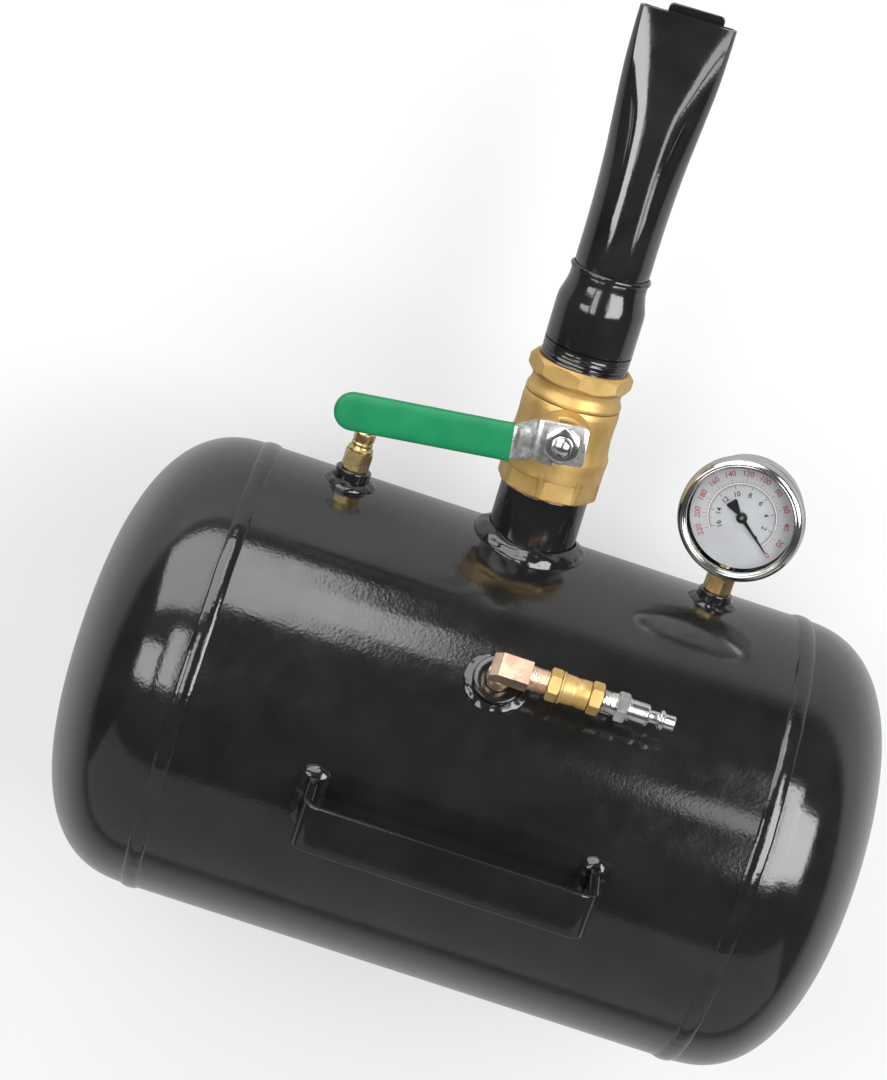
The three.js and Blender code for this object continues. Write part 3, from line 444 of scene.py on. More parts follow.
def weld(outline, width, height, seed, rows=10):
    """Rings of a lumpy bead round an outline of (x, z, nx, nz) on the shell."""
    toe_gap, toe_sink, root_inset, root_sink = 0.3, 0.4, 0.5, 2
    fullness = 1.25
    long_lumps, long_scale = 0.2, 1.4
    short_lumps, short_scale, short_slant = 0.16, 3.4, 1.3
    rings = []
    for i, (x, z, nx, nz) in enumerate(outline):
        ring = []
        angle = TAU * i / len(outline)
        spot = Vector((math.cos(angle), math.sin(angle), seed))
        size = 1 + long_lumps * noise.noise(spot * long_scale)
        for k in range(rows + 1):
            t = math.pi / 2 * k / rows
            place = Vector((spot.x * short_scale, spot.y * short_scale, seed + short_slant * t))
            swell = size + short_lumps * noise.noise(place) * math.sin(2 * t)
            out = toe_gap + width * max(math.cos(t), 0) ** fullness * swell
            up = height * math.sin(t) ** fullness * swell
            px, pz = x + nx * out, z + nz * out
            ring.append(Vector((px, shell_height(pz, -toe_sink) + up, pz)))
        root_y = shell_height(z, -root_sink)
        ring.append(Vector((x - nx * root_inset, root_y, z - nz * root_inset)))
        rings.append(ring)
    return rings


def round_outline(r, count=144):
    angles = [TAU * i / count for i in range(count)]
    return [(r * math.cos(a), r * math.sin(a), math.cos(a), math.sin(a)) for a in angles]


def bar_outline(x0, x1, z0, z1):
    """The rounded outline of a flat bar's end, with outward normals."""
    radius, corner_steps, spacing = 1.2, 4, 1.2
    corners = [(x1, z1, 0), (x0, z1, 1), (x0, z0, 2), (x1, z0, 3)]
    points = []
    for x, z, quarter in corners:
        cx = x - radius if x == x1 else x + radius
        cz = z - radius if z == z1 else z + radius
        for k in range(corner_steps + 1):
            angle = math.pi / 2 * (quarter + k / corner_steps)
            nx, nz = math.cos(angle), math.sin(angle)
            points.append((cx + radius * nx, cz + radius * nz, nx, nz))
    dense = []
    for (ax, az, anx, anz), (bx, bz, bnx, bnz) in zip(points, points[1:] + points[:1]):
        parts = max(1, round(math.hypot(bx - ax, bz - az) / spacing))
        for k in range(parts):
            t = k / parts
            n = Vector((anx + (bnx - anx) * t, anz + (bnz - anz) * t)).normalized()
            dense.append((ax + (bx - ax) * t, az + (bz - az) * t, n.x, n.y))
    return dense


def arc(cx, cy, r, start, end, steps):
    angles = [math.radians(start + (end - start) * k / steps) for k in range(steps + 1)]
    return [(cx + r * math.cos(a), cy + r * math.sin(a)) for a in angles]


def ribbon(path, half_widths, thick, corner=0.9):
    """Rings of a flat bar along a path of (u, v) points: u along X, v along Y, width along Z.

    half_widths has one value for each point, and corner is the radius of the bar's edges."""
    corner_steps = 3
    rings = []
    last = len(path) - 1
    for i, ((u, v), half) in enumerate(zip(path, half_widths)):
        a, b = Vector(path[max(i - 1, 0)]), Vector(path[min(i + 1, last)])
        along = (b - a).normalized()
        normal = Vector((-along.y, along.x))
        ring = []
        for sx, sz, quarter in ((1, 1, 0), (-1, 1, 1), (-1, -1, 2), (1, -1, 3)):
            for k in range(corner_steps + 1):
                angle = math.pi / 2 * (quarter + k / corner_steps)
                off = sx * (thick / 2 - corner) + corner * math.cos(angle)
                wide = sz * (half - corner) + corner * math.sin(angle)
                spot = Vector((u, v)) + normal * off
                ring.append(Vector((spot.x, spot.y, wide)))
        rings.append(ring)
    return rings


# ---- Tank ----

WALL = 2.5
head_low, head_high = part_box("tank_head_right")
HEAD_DEPTH = (head_high.x - head_low.x) / MM
HEAD_POWER = 2.6
HEAD_START = 0.2
HEAD_TIP = 0.4
TANK_SIDES = 192


def head_curve(r, depth):
    """Radius and height along a dished head, from its open edge to its middle."""
    steps = 36
    points = []
    for k in range(steps + 1):
        angle = math.pi / 2 * k / steps
        radius = r * math.cos(angle) ** (2 / HEAD_POWER) if k < steps else HEAD_TIP
        points.append((radius, SEAM + HEAD_START + depth * math.sin(angle) ** (2 / HEAD_POWER)))
    return points


def add_tank():
    edge, rows = SEAM - 0.3, 24
    shell = [(TANK_R - WALL, -edge), (TANK_R, -edge)]
    shell += [(TANK_R, -edge + 2 * edge * k / rows) for k in range(1, rows)]
    shell += [(TANK_R, edge), (TANK_R - WALL, edge)]
    piece("tank_shell", turned(lathe(shell, TANK_SIDES), ALONG_X), TANK_PORT, "black_paint", loop=True)
    outer = head_curve(TANK_R, HEAD_DEPTH)
    inner = head_curve(TANK_R - WALL, HEAD_DEPTH - WALL)
    head = turned(lathe(outer[::-1] + inner, TANK_SIDES), ALONG_X)
    for side, turn, seed in (("left", math.pi, 5), ("right", 0, 11)):
        end = TANK_PORT @ Matrix.Rotation(turn, 4, "Z")
        piece(f"tank_head_{side}", head, end, "black_paint")
        piece(f"girth_weld_{side}", girth_weld(seed), end, "black_weld", loop=True)


def girth_weld(seed):
    """A machine weld: a low crown with faint ripples and a soft toe on each side."""
    count, half = 720, 4.7
    crown, fullness, toe, sink = 1.25, 0.6, 0.3, 0.05
    ripples, ripple_depth, ripple_bow = 240, 0.012, 3.2
    sway, sway_scale = 0.35, 9
    lump_depth, lump_fineness = 0.07, 3

    def row(across):
        rise = crown * (1 - (across / half) ** 2) ** fullness
        bow = ripple_bow * math.cos(math.pi / 2 * across / half)

        def shape(angle):
            spot = Vector((sway_scale * math.cos(angle), sway_scale * math.sin(angle), seed))
            lump = lump_depth * noise.noise(spot * lump_fineness)
            uneven = ripple_depth * math.cos(ripples * angle + bow) + lump
            high = rise + uneven if rise > toe else rise
            return TANK_R - sink + high, SEAM + across + sway * noise.noise(spot)

        return ring_round(shape, count)

    rings = [row(across) for across in (-half, -4.3, -3.7, -2.8, -1.4, 0, 1.4, 2.8, 3.7, 4.3, half)]
    rings += [circle(TANK_R - 0.8, SEAM + across, count) for across in (4, -4)]
    return turned(rings, ALONG_X)


def bridge_path(half, top, foot, thick, bend):
    """Middle line of a bar bent into a bridge, from one foot over the top to the other."""
    leg_steps, bend_steps, top_steps = 4, 8, 12
    outer = half - thick / 2
    high = top - thick / 2
    r = bend - thick / 2
    path = [(-outer, foot + (high - r - foot) * k / leg_steps) for k in range(leg_steps)]
    path += arc(-outer + r, high - r, r, 180, 90, bend_steps)
    path += [(-outer + r + 2 * (outer - r) * k / top_steps, high) for k in range(1, top_steps)]
    path += arc(outer - r, high - r, r, 90, 0, bend_steps)
    path += [(outer, high - r + (foot - high + r) * k / leg_steps) for k in range(1, leg_steps + 1)]
    return path


def strap(name, path, half, thick, matrix):
    """A flat bar of one width all along its path."""
    piece(name, ribbon(path, [half] * len(path), thick), matrix, "black_paint")


def add_handle():
    thick, half, bend = 5, 12.5, 9
    path = bridge_path(HANDLE_HALF, HANDLE_TOP, TANK_R - 1, thick, bend)
    strap("carry_handle", path, half, thick, HANDLE_PORT)
    for side, sign in (("left", -1), ("right", 1)):
        ends = sorted((sign * HANDLE_HALF, sign * (HANDLE_HALF - thick)))
        rings = weld(bar_outline(*ends, -half, half), width=5, height=4.3, seed=3 + sign)
        piece(f"handle_weld_{side}", rings, HANDLE_PORT, "black_weld", loop=True, sharp=60)


def add_feet():
    thick, half, reach, bend = 4, 12.5, 74, 9
    across = Matrix.Rotation(math.pi / 2, 4, "Y")
    path = bridge_path(reach, GROUND, shell_height(reach) - 1, thick, bend)
    for side, sign in (("left", -1), ("right", 1)):
        below = port(sign * FOOT_X, -math.pi / 2)
        strap(f"foot_{side}", path, half, thick, below @ across)
        for end, way in (("front", -1), ("back", 1)):
            z = sorted((way * reach, way * (reach - thick)))
            rings = weld(bar_outline(-half, half, *z), width=4.3, height=4.2, seed=7 + way + sign)
            name = f"foot_weld_{side}_{end}"
            piece(name, rings, below, "black_weld", loop=True, sharp=60)


def add_bosses():
    """Threaded bosses: name, x, angle, radius and top, and the width and height of the weld."""
    bosses = [
        ("relief", RELIEF_X, 0, 9.9, 136, 4.8, 3.4),
        ("gauge", GAUGE_X, 0, 9.5, 134, 4.6, 2.6),
        ("inlet", INLET_X, INLET_ANGLE, 13, 133, 5.2, 2.4),
    ]
    bore, foot = 6.8, 122
    for name, x, angle, r, top, width, height in bosses:
        place = port(x, angle)
        profile = rounded([(bore, foot), (r, foot), (r, top), (bore, top), (bore, foot + 0.5)], 0.8)
        piece(f"{name}_boss", lathe(profile), place, "black_tube", loop=True)
        rings = weld(round_outline(r), width, height, seed=13 + x / 50)
        piece(f"{name}_boss_weld", rings, place, "black_weld", loop=True, sharp=60)


# ---- Outlet, valve and lever ----


def add_outlet():
    bore, pipe, neck = 20.4, 24.15, 22.9
    foot, shoulder, top = 121, 160, 176
    profile = [(bore, foot), (pipe, foot), (pipe, shoulder - 0.8), (neck, shoulder), (neck, top),
               (bore, top), (bore, foot + 0.5)]
    piece("outlet_nipple", lathe(rounded(profile, 0.5), 96), BARREL_PORT, "black_tube", loop=True)
    fillet = weld(round_outline(24.5, 288), width=6.8, height=6.6, seed=2, rows=14)
    piece("outlet_weld", fillet, port(BARREL_X, 0), "black_weld", loop=True, sharp=70)


VALVE_SIDES = 192


def octagon_ring(height, round_r, across, corner):
    """An octagon whose corners are turned down to round_r."""

    def shape(angle):
        return min(round_r, flat_radius(across, 8, angle, corner)), height

    return ring_round(shape, VALVE_SIDES)


def add_valve():
    foot, octagon, top = -39.2, -27.6, 13
    corner = math.radians(99)
    across, bore = 51.6, 23.2
    rings = [circle(bore, foot, VALVE_SIDES), circle(25, foot, VALVE_SIDES)]
    for height, r in ((foot + 0.1, 25.4), (foot + 1.2, 27.2), (foot + 2, 28), (octagon - 0.4, 28)):
        rings.append(octagon_ring(height, r, across, corner))
    body = [(27.75, octagon + 0.3), (27.8, -24), (27.9, -20), (28.25, -16.5), (28.1, -14.5), (27.2, -12),
            (26.7, -9), (26.35, -4), (26.3, 0), (26.5, 5), (26.6, 9), (26.3, 12.4), (25.9, top),
            (bore + 0.2, top), (bore + 0.2, foot + 0.5)]
    rings += lathe(body, VALVE_SIDES)
    boss = [(6.4, 20), (15, 20.4), (13.6, 25), (12.7, 29), (12.4, 37), (9.4, 37), (9.4, 30), (6.4, 30)]
    extra = [(turned(lathe(rounded(boss, 1.2), 96), ALONG_Z), True)]
    # The two stop lugs on top of the boss.
    near, far, half = 10.6, 12.3, 2
    lug = prism([(near, -half), (far, -half), (far, half), (near, half)], 35, 41.2, 42)
    for degrees in (127, 274):
        extra.append((turned(lug, Matrix.Rotation(math.radians(degrees), 4, "Z")), False))
    piece("valve_body", rings, VALVE, "cast_brass", loop=True, sharp=32, extra=extra)
    add_valve_end()
    gland = nut(17, 37.4, 42, corner=0.3, bore=6.3)
    piece("gland_nut", turned(gland, ALONG_Z), VALVE, "zinc_steel", loop=True)


def add_valve_end():
    foot, octagon, top = 13.3, 23.2, 33.8
    across, bore = 52.6, 23
    corner = math.radians(90)
    inside = across / 2 * 0.99
    slope = 0.85
    collar = [(bore, foot), (26.2, foot), (26.4, 15.4), (24.9, 18.6), (24.6, 20.4), (24.9, octagon - 0.6)]
    rings = [circle(bore, foot, VALVE_SIDES)] + lathe(rounded(collar, 0.9), VALVE_SIDES)
    rings.append(prism_ring(across, 8, corner, octagon, slope, inside - 1.2, VALVE_SIDES))
    rings.append(prism_ring(across, 8, corner, top - 0.2, -slope, inside - 0.2, VALVE_SIDES))
    mouth = [(inside - 0.4, top), (24.3, top), (bore + 0.2, top - 1.1), (bore, foot + 2)]
    rings += lathe(mouth, VALVE_SIDES)
    piece("valve_end", rings, VALVE, "cast_brass", loop=True, sharp=28)


# Along the valve's stem: the hub's underside, the lever's thickness and the rise of its crank.
LEVER_LOW, LEVER_THICK, LEVER_RISE = 43, 3, 15


def lever_rings():
    head, bend_from, bend_to, end = 13, -15, -25, -60
    mid = LEVER_LOW + LEVER_THICK / 2
    raised = mid + LEVER_RISE
    # Each row is x, height and half width.
    rows = [
        (head, mid, 8.6), (head - 1, mid, 10.3), (head - 3, mid, 11), (0, mid, 11),
        (bend_from + 4, mid, 11), (bend_from + 2, mid + 0.15, 11), (bend_from, mid + 1, 11),
        (bend_from - 1.6, mid + 3, 10.8), (bend_to + 1.4, raised - 3, 9.6), (bend_to - 0.4, raised - 1, 9.2),
        (bend_to - 3, raised, 9), (end, raised, 9),
    ]
    flat = ribbon([row[:2] for row in rows], [row[2] for row in rows], LEVER_THICK, 0.5)
    # The ribbon lies in the XY plane with its width along Z; this stands it along the valve's stem.
    return turned(flat, ALONG_Z)


def add_lever():
    tab = prism([(-11, -12.4), (-2.5, -12.4), (-3.2, -10), (-10.3, -10)], 39.2, 46)
    lever = piece("lever", lever_rings(), LEVER, "zinc_steel", sharp=50, body="ball_and_lever",
                  extra=[(tab, False)])
    round_edges(lever, 0.25, 2)
    lever_nut = turned(nut(17, 46.6, 51.4, corner=0.52, bore=5.7), ALONG_Z)
    washer = turned(lathe([(5.8, 46.1), (8.9, 46.1), (9.1, 46.5), (8.4, 47), (5.8, 47)]), ALONG_Z)
    piece("lever_nut", lever_nut, LEVER, "nickel", loop=True, body="ball_and_lever", extra=[(washer, True)])
    axis, dome_r, dome_rise, dome_low = 0.2, 5.8, 4.2, 51.4
    stem = [(axis, 22), (7.9, 22), (7.9, 25), (5.9, 25), (5.9, 43), (5.4, 46.5), (5.6, dome_low)]
    stem = rounded(stem, 0.3)
    for degrees in range(0, 90, 9):
        a = math.radians(degrees)
        stem.append((dome_r * math.cos(a), dome_low + dome_rise * math.sin(a)))
    stem.append((axis, dome_low + dome_rise))
    piece("valve_stem", turned(lathe(stem), ALONG_Z), LEVER, "nickel", body="ball_and_lever")
    add_grip()


def add_grip():
    """The dipped grip: a flat bar with full sides, a rounded end and a flared mouth."""
    start, end, half, thick, end_round = -26, -120, 10.3, 6.4, 3
    mid = LEVER_LOW + LEVER_RISE + LEVER_THICK / 2
    flare_rise, flare_length, belly = 0.035, 2.2, 0.25
    side_power, face_power = 0.42, 0.62
    rows, count = 46, 40
    rings = []
    for k in range(rows + 1):
        t = k / rows
        x = start + (end - start) * (1 - (1 - t) ** 1.6)
        left = x - end
        wide = half * math.sqrt(max(0, 1 - max(0, (half - left) / half) ** 2))
        high = thick / 2 * max(0.12, math.sqrt(max(0, 1 - max(0, (end_round - left) / end_round) ** 2)))
        flare = 1 + flare_rise * math.exp(-((x - start) / flare_length) ** 2)
        swell = belly * math.sin(math.pi * t)
        ring = []
        for i in range(count):
            angle = TAU * i / count
            c, s = math.cos(angle), math.sin(angle)
            y = max(0.3, wide) * flare * math.copysign(abs(c) ** side_power, c)
            z = (high * flare + swell) * math.copysign(abs(s) ** face_power, s)
            ring.append(Vector((x, y, mid + z)))
        rings.append(ring)
    piece("lever_grip", rings, LEVER, "green_vinyl", sharp=50, body="ball_and_lever")


# ---- Barrel ----

# Height, half width, ridge height, half distance between the ridges, depth of the valley.
BARREL_SECTIONS = [
    (271, 19.6, 19.6, 6, 0), (283, 19.6, 19.6, 6, 0), (287, 20.4, 20.4, 6.3, 0), (300, 20.4, 20.3, 7, 0.3),
    (322, 20.7, 19.1, 9, 1.5), (346, 21.8, 16.6, 11.6, 3.6), (360, 22.9, 14.2, 13.4, 4.7),
    (372, 23.9, 12, 15.6, 4.9), (384, 24.9, 9.9, 19, 4.2), (396, 25.6, 7.9, 21.6, 3.3),
    (410, 25.9, 5.8, 23.2, 2), (423.5, 25.9, 4.4, 24, 1),
]
BARREL_WALL = 1.9


def section_at(height):
    """Smooth values between the barrel's named sections."""
    table = BARREL_SECTIONS
    last = len(table) - 1
    index = max(i for i, row in enumerate(table[:-1]) if row[0] <= height)
    rows = [table[max(index - 1, 0)], table[index], table[index + 1], table[min(index + 2, last)]]
    span = rows[2][0] - rows[1][0]
    t = (height - rows[1][0]) / span
    out = []
    for column in range(1, 5):
        p0, p1, p2, p3 = (row[column] for row in rows)
        before = (p2 - p0) / max(rows[2][0] - rows[0][0], 1) * span
        after = (p3 - p1) / max(rows[3][0] - rows[1][0], 1) * span
        t2, t3 = t * t, t * t * t
        out.append((2 * t3 - 3 * t2 + 1) * p1 + (t3 - 2 * t2 + t) * before
                   + (3 * t2 - 2 * t3) * p2 + (t3 - t2) * after)
    return out


def barrel_ring(height, inset=0):
    """One section of the barrel: round sides, and a valley between two ridges on each face."""
    side_steps, face_steps, valley_power = 12, 32, 4
    half, ridge, crease, valley = section_at(height)
    half, ridge, crease = half - inset, ridge - inset, crease - inset
    side_high = ridge / math.sqrt(max(0.02, 1 - (crease / half) ** 2))
    turn_at = math.acos(crease / half)
    quarter = []
    for k in range(side_steps + 1):
        angle = turn_at * k / side_steps
        quarter.append((half * math.cos(angle), side_high * math.sin(angle)))
    face = []
    for k in range(1, face_steps):
        x = crease * (1 - 2 * k / face_steps)
        face.append((x, ridge - valley * (1 - (x / crease) ** valley_power)))
    top = quarter + face + [(-x, z) for x, z in reversed(quarter)]
    bottom = [(-x, -z) for x, z in top[1:-1]]
    return [Vector((x, height, z)) for x, z in top + bottom]


def add_barrel():
    first, even_from, even_to, rows = 271, 290, 423.1, 70
    lip, lip_round = 423.45, 0.35
    heights = [first, 279, 283, 285, 287, even_from]
    heights += [even_from + (even_to - even_from) * k / rows for k in range(1, rows + 1)]
    outer = [barrel_ring(height) for height in heights] + [barrel_ring(lip, lip_round)]
    inner = [barrel_ring(lip, BARREL_WALL - lip_round)]
    inner += [barrel_ring(height, BARREL_WALL) for height in reversed(heights)]
    piece("barrel_tube", outer + inner, BARREL_PORT, "black_tube", loop=True, sharp=30)
    bore, outside, foot = 19, 24, 242
    screw = thread(outside, 1, 2.2, 221, foot, bore, 96)
    bell = [(bore, foot), (outside, foot), (outside, 264), (23.6, 267.5), (22.4, 271.2), (21.3, 275.5),
            (21, 278), (21, 282), (19.9, 282), (19.9, 271), (17.2, 271), (17.2, foot + 1)]
    rings = screw[:-1] + lathe(rounded(bell, 1.4), 96)[1:]
    piece("barrel_adapter", rings, BARREL_PORT, "black_tube", loop=True, sharp=30)
    piece("barrel_weld", barrel_weld(), BARREL_PORT, "black_weld", loop=True, sharp=60)
    add_rim_tab()


def barrel_weld():
    """A bead round the seam between the adapter and the tube."""
    count, rows, r, height = 240, 8, 20.5, 283.4
    bead_high, bead_half = 1.5, 1.7
    rings = []
    for i in range(count):
        angle = TAU * i / count
        lump = noise.noise(Vector((4 * math.cos(angle), 4 * math.sin(angle), 9)))
        swell = 1 + 0.25 * lump + 0.015 * math.cos(44 * angle)
        ring = []
        for k in range(rows + 1):
            a = math.pi * k / rows
            out, y = r + bead_high * math.sin(a) * swell, height - bead_half * math.cos(a)
            ring.append(Vector((out * math.cos(angle), y, out * math.sin(angle))))
        rings.append(ring)
    return rings


def add_rim_tab():
    """The small plate behind the barrel's lip; it leans with the back of the barrel."""
    back, lip_back, thick = -9.2, -7.1, 3
    left, right, foot, top, corner = -11, 19, 400.5, 427.4, 2.5
    height = top - foot
    outline = arc(right - corner, height - corner, corner, 0, 90, 5)
    outline += arc(left + corner, height - corner, corner, 90, 180, 5)
    outline += [(left, 0), (right, 0)]
    lean = math.atan2(lip_back - back, height)
    place = shifted(BARREL_PORT, y=foot, z=back - thick) @ Matrix.Rotation(lean, 4, "X")
    tab = piece("rim_tab", prism(outline, 0, thick - 0.2), place, "black_paint")
    round_edges(tab, 0.6, 4)


# ---- Relief valve ----


def add_relief():
    hexagon = nut(14, 136.4, 146.8, corner=0.3, bore=3.4)
    stem = thread(6.4, 0.6, 1.3, 123, 136.2, 3.4)
    collar = [(4.8, 147), (7, 147), (7.1, 148.4), (6, 148.8), (5.9, 150), (4.8, 150)]
    piece("relief_body", hexagon, RELIEF, "turned_brass", loop=True,
          extra=[(stem, True), (lathe(rounded(collar, 0.3)), True)])
    cap = [(4, 150.4), (5.9, 150.4), (5.9, 151.4), (5.3, 151.9), (5.3, 152.9), (5.9, 153.4), (5.9, 157.4),
           (5, 158.4), (4.6, 160), (5, 160.6), (5, 162), (4.4, 162.6), (1.9, 162.6), (1.9, 161), (4, 160.5)]
    piece("relief_bonnet", lathe(rounded(cap, 0.25)), RELIEF, "turned_brass", loop=True)
    add_plunger()


def add_plunger():
    """The relief valve's plunger, the eye on its end and the pull ring through the eye."""
    axis, rod_r, eye_y, eye_r, hole_r, eye_sides = 0.2, 1.3, 168, 3.2, 1.7, 24
    rod = [(axis, 141.4), (4, 141.4), (4, 143), (rod_r, 143), (rod_r, 166.2), (axis, 166.2)]

    def flat_circle(r, x):
        full = arc(0, 0, r, 0, 360, eye_sides)
        return [Vector((x, eye_y + y, z)) for z, y in full[:-1]]

    eye = [flat_circle(eye_r, -rod_r), flat_circle(eye_r, rod_r)]
    eye += [flat_circle(hole_r, rod_r), flat_circle(hole_r, -rod_r)]
    piece("relief_stem", lathe(rounded(rod, 0.2), 32), RELIEF, "turned_brass", body="relief_plunger",
          extra=[(eye, True)])
    count, ring_r, wire, sway = 96, 9, 0.75, 0.175
    rings = []
    for i in range(count):
        angle = TAU * i / count
        rings.append(wire_ring(angle, ring_r, sway * math.sin(angle / 2 - 0.4), wire))
    hanging = shifted(RELIEF, y=eye_y, z=-ring_r)
    piece("relief_pull_ring", rings, hanging, "spring_steel", loop=True, body="pull_ring")


# ---- Gauge ----

ZERO_ANGLE = -37.5
SWEEP = 255
DIAL_TOP = 6.4
PRINT_THICK = 0.06


def turned_face(profile, count=128):
    return turned(lathe(profile, count), ALONG_Z)


def add_gauge():
    socket = nut(14, 134.4, 143.8, corner=0.15, bore=2)
    shank = thread(6.4, 0.6, 1.3, 123, 134.2, 2)
    neck = [(2, 144), (6.2, 144), (5.4, 145.4), (5.2, 146), (5.2, 153), (2, 153)]
    piece("gauge_socket", socket, GAUGE_STAND, "turned_brass", loop=True,
          extra=[(shank, True), (lathe(rounded(neck, 0.3)), True)])
    axis = 0.3
    case = [(axis, -14), (26, -14), (29.4, -13.4), (31, -11), (31, 9.8), (29.9, 9.8), (29.9, -10.4),
            (28.6, -12.2), (axis, -12.6)]
    piece("gauge_case", turned_face(rounded(case, 0.6)), GAUGE_FACE, "stainless")
    bezel = [(31.4, 6.6), (33.6, 6.6), (34.5, 7.6), (34.5, 9.4), (34, 10), (34, 10.6), (34.4, 11.4),
             (34.2, 13.6), (33.2, 15.4), (31.9, 16.3), (30.9, 16.4), (30.6, 15.9), (30.2, 16.2),
             (29.4, 15.8), (28.9, 14.9), (28.9, 13.7), (31.4, 13.7)]
    piece("gauge_bezel", turned_face(rounded(bezel, 0.45), 160), GAUGE_FACE, "stainless", loop=True,
          sharp=50)
    lens_r, lens_low, lens_edge, crown, rows = 30.8, 10.4, 12.4, 0.8, 10
    lens = [(axis, lens_low), (lens_r, lens_low), (lens_r, lens_edge)]
    for k in range(rows + 1):
        share = k / rows
        lens.append((lens_r - 0.2 - (lens_r - 0.2 - axis) * share, lens_edge + crown * share ** 0.5))
    piece("gauge_lens", turned_face(lens), GAUGE_FACE, "gauge_glass")
    hole, dial_r, dial_low = 2.4, 28.4, 5.7
    dial = [(hole, dial_low), (dial_r, dial_low), (dial_r, DIAL_TOP), (hole, DIAL_TOP)]
    piece("gauge_dial", turned_face(rounded(dial, 0.1)), GAUGE_FACE, "dial_face", loop=True)
    add_scale()
    add_pointer()


def dial_angle(share):
    return math.radians(ZERO_ANGLE + SWEEP * share)


def dial_way(share):
    """The direction on the dial's face from its middle to a share of the scale."""
    angle = dial_angle(share)
    return Vector((math.cos(angle), math.sin(angle), 0))


def add_marks(name, finish, strips):
    """Thin printed strips, each (share, inner r, outer r, width in mm)."""
    shape = bmesh.new()
    for share, inner, outer, width in strips:
        out = dial_way(share)
        side = Vector((-out.y, out.x, 0)) * width / 2
        flat = [out * inner - side, out * outer - side, out * outer + side, out * inner + side]
        levels = (DIAL_TOP, DIAL_TOP + PRINT_THICK)
        add_rings(shape, prism([point.xy for point in flat], *levels))
    finish_piece(name, shape, GAUGE_FACE, finish)


def add_ring_mark(name, finish, r, width):
    steps = 120
    near, far, top = r - width / 2, r + width / 2, PRINT_THICK
    rings = []
    for k in range(steps + 1):
        out = dial_way(k / steps)
        section = ((near, 0), (far, 0), (far, top), (near, top))
        rings.append([out * radius + Vector((0, 0, DIAL_TOP + z)) for radius, z in section])
    piece(name, rings, GAUGE_FACE, finish)


def add_number(name, finish, text, share, r, size):
    curve = bpy.data.curves.new(name, "FONT")
    curve.body = text
    curve.size = size
    curve.align_x = "CENTER"
    curve.align_y = "CENTER"
    curve.extrude = PRINT_THICK / 2
    curve.offset = 0.05
    maker = bpy.data.objects.new(name + "_maker", curve)
    bpy.context.scene.collection.objects.link(maker)
    bpy.context.view_layer.update()
    mesh = bpy.data.meshes.new_from_object(maker.evaluated_get(bpy.context.evaluated_depsgraph_get()))
    bpy.data.objects.remove(maker)
    spin = Matrix.Rotation(dial_angle(share) - math.pi / 2, 4, "Z")
    spot = dial_way(share) * r + Vector((0, 0, DIAL_TOP + PRINT_THICK / 2))
    mesh.transform(GAUGE_FACE @ Matrix.Translation(spot) @ spin)
    mesh.materials.clear()
    mesh.materials.append(FINISH[finish])
    thing = bpy.data.objects.new(name, mesh)
    bpy.context.scene.collection.objects.link(thing)
    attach(thing, "tank")


def ticks(total, edge, kinds):
    """A scale's strips. Each kind is (every, far end, width), and the first that fits is used."""
    strips = []
    for k in range(total + 1):
        far, width = next((far, width) for every, far, width in kinds if k % every == 0)
        strips.append((k / total, min(edge, far), max(edge, far), width))
    return strips


def add_scale():
    add_ring_mark("white_scale_arc", "white_ink", 18.6, 0.55)
    add_ring_mark("black_scale_arc", "pointer_black", 18.05, 0.28)
    add_ring_mark("red_scale_arc", "red_ink", 19.1, 0.16)
    add_marks("red_scale_marks", "red_ink", ticks(44, 19.1, [(4, 21.6, 0.26), (1, 20.4, 0.16)]))
    black = ticks(80, 17.9, [(10, 15.6, 0.3), (5, 16.4, 0.16), (1, 17, 0.16)])
    add_marks("black_scale_marks", "pointer_black", black)
    for colour, ink, full, step, r, size in (("red", "red_ink", 220, 20, 24.2, 4.3),
                                             ("black", "pointer_black", 16, 2, 12.9, 4)):
        for value in range(0, full + 1, step):
            add_number(f"{colour}_number_{value}", ink, str(value), value / full, r, size)


def add_pointer():
    """The pointer at zero: a long thin hand, a spade tail and a turned hub."""
    length, tail = 23, 10.5
    right = [(0.28, -length), (0.95, -2.6), (1, 2.8), (3.3, tail - 1), (2.9, tail)]
    left = [(-x, y) for x, y in reversed(right)]
    outline = left[-1:] + right + left[:-1]
    turn = Matrix.Rotation(math.radians(ZERO_ANGLE + 90), 4, "Z")
    hub = rounded([(1.3, 7), (3, 7), (3, 8.3), (2.2, 8.5), (1.3, 8.5)], 0.2)
    hand = piece("pointer", prism(outline, 7.1, 7.7), GAUGE_FACE @ turn, "pointer_black",
                 body="pointer_and_shaft", extra=[(turned_face(hub, 48), True)])
    round_edges(hand, 0.08)


# ---- Inlet: elbow, check valve and air plug ----


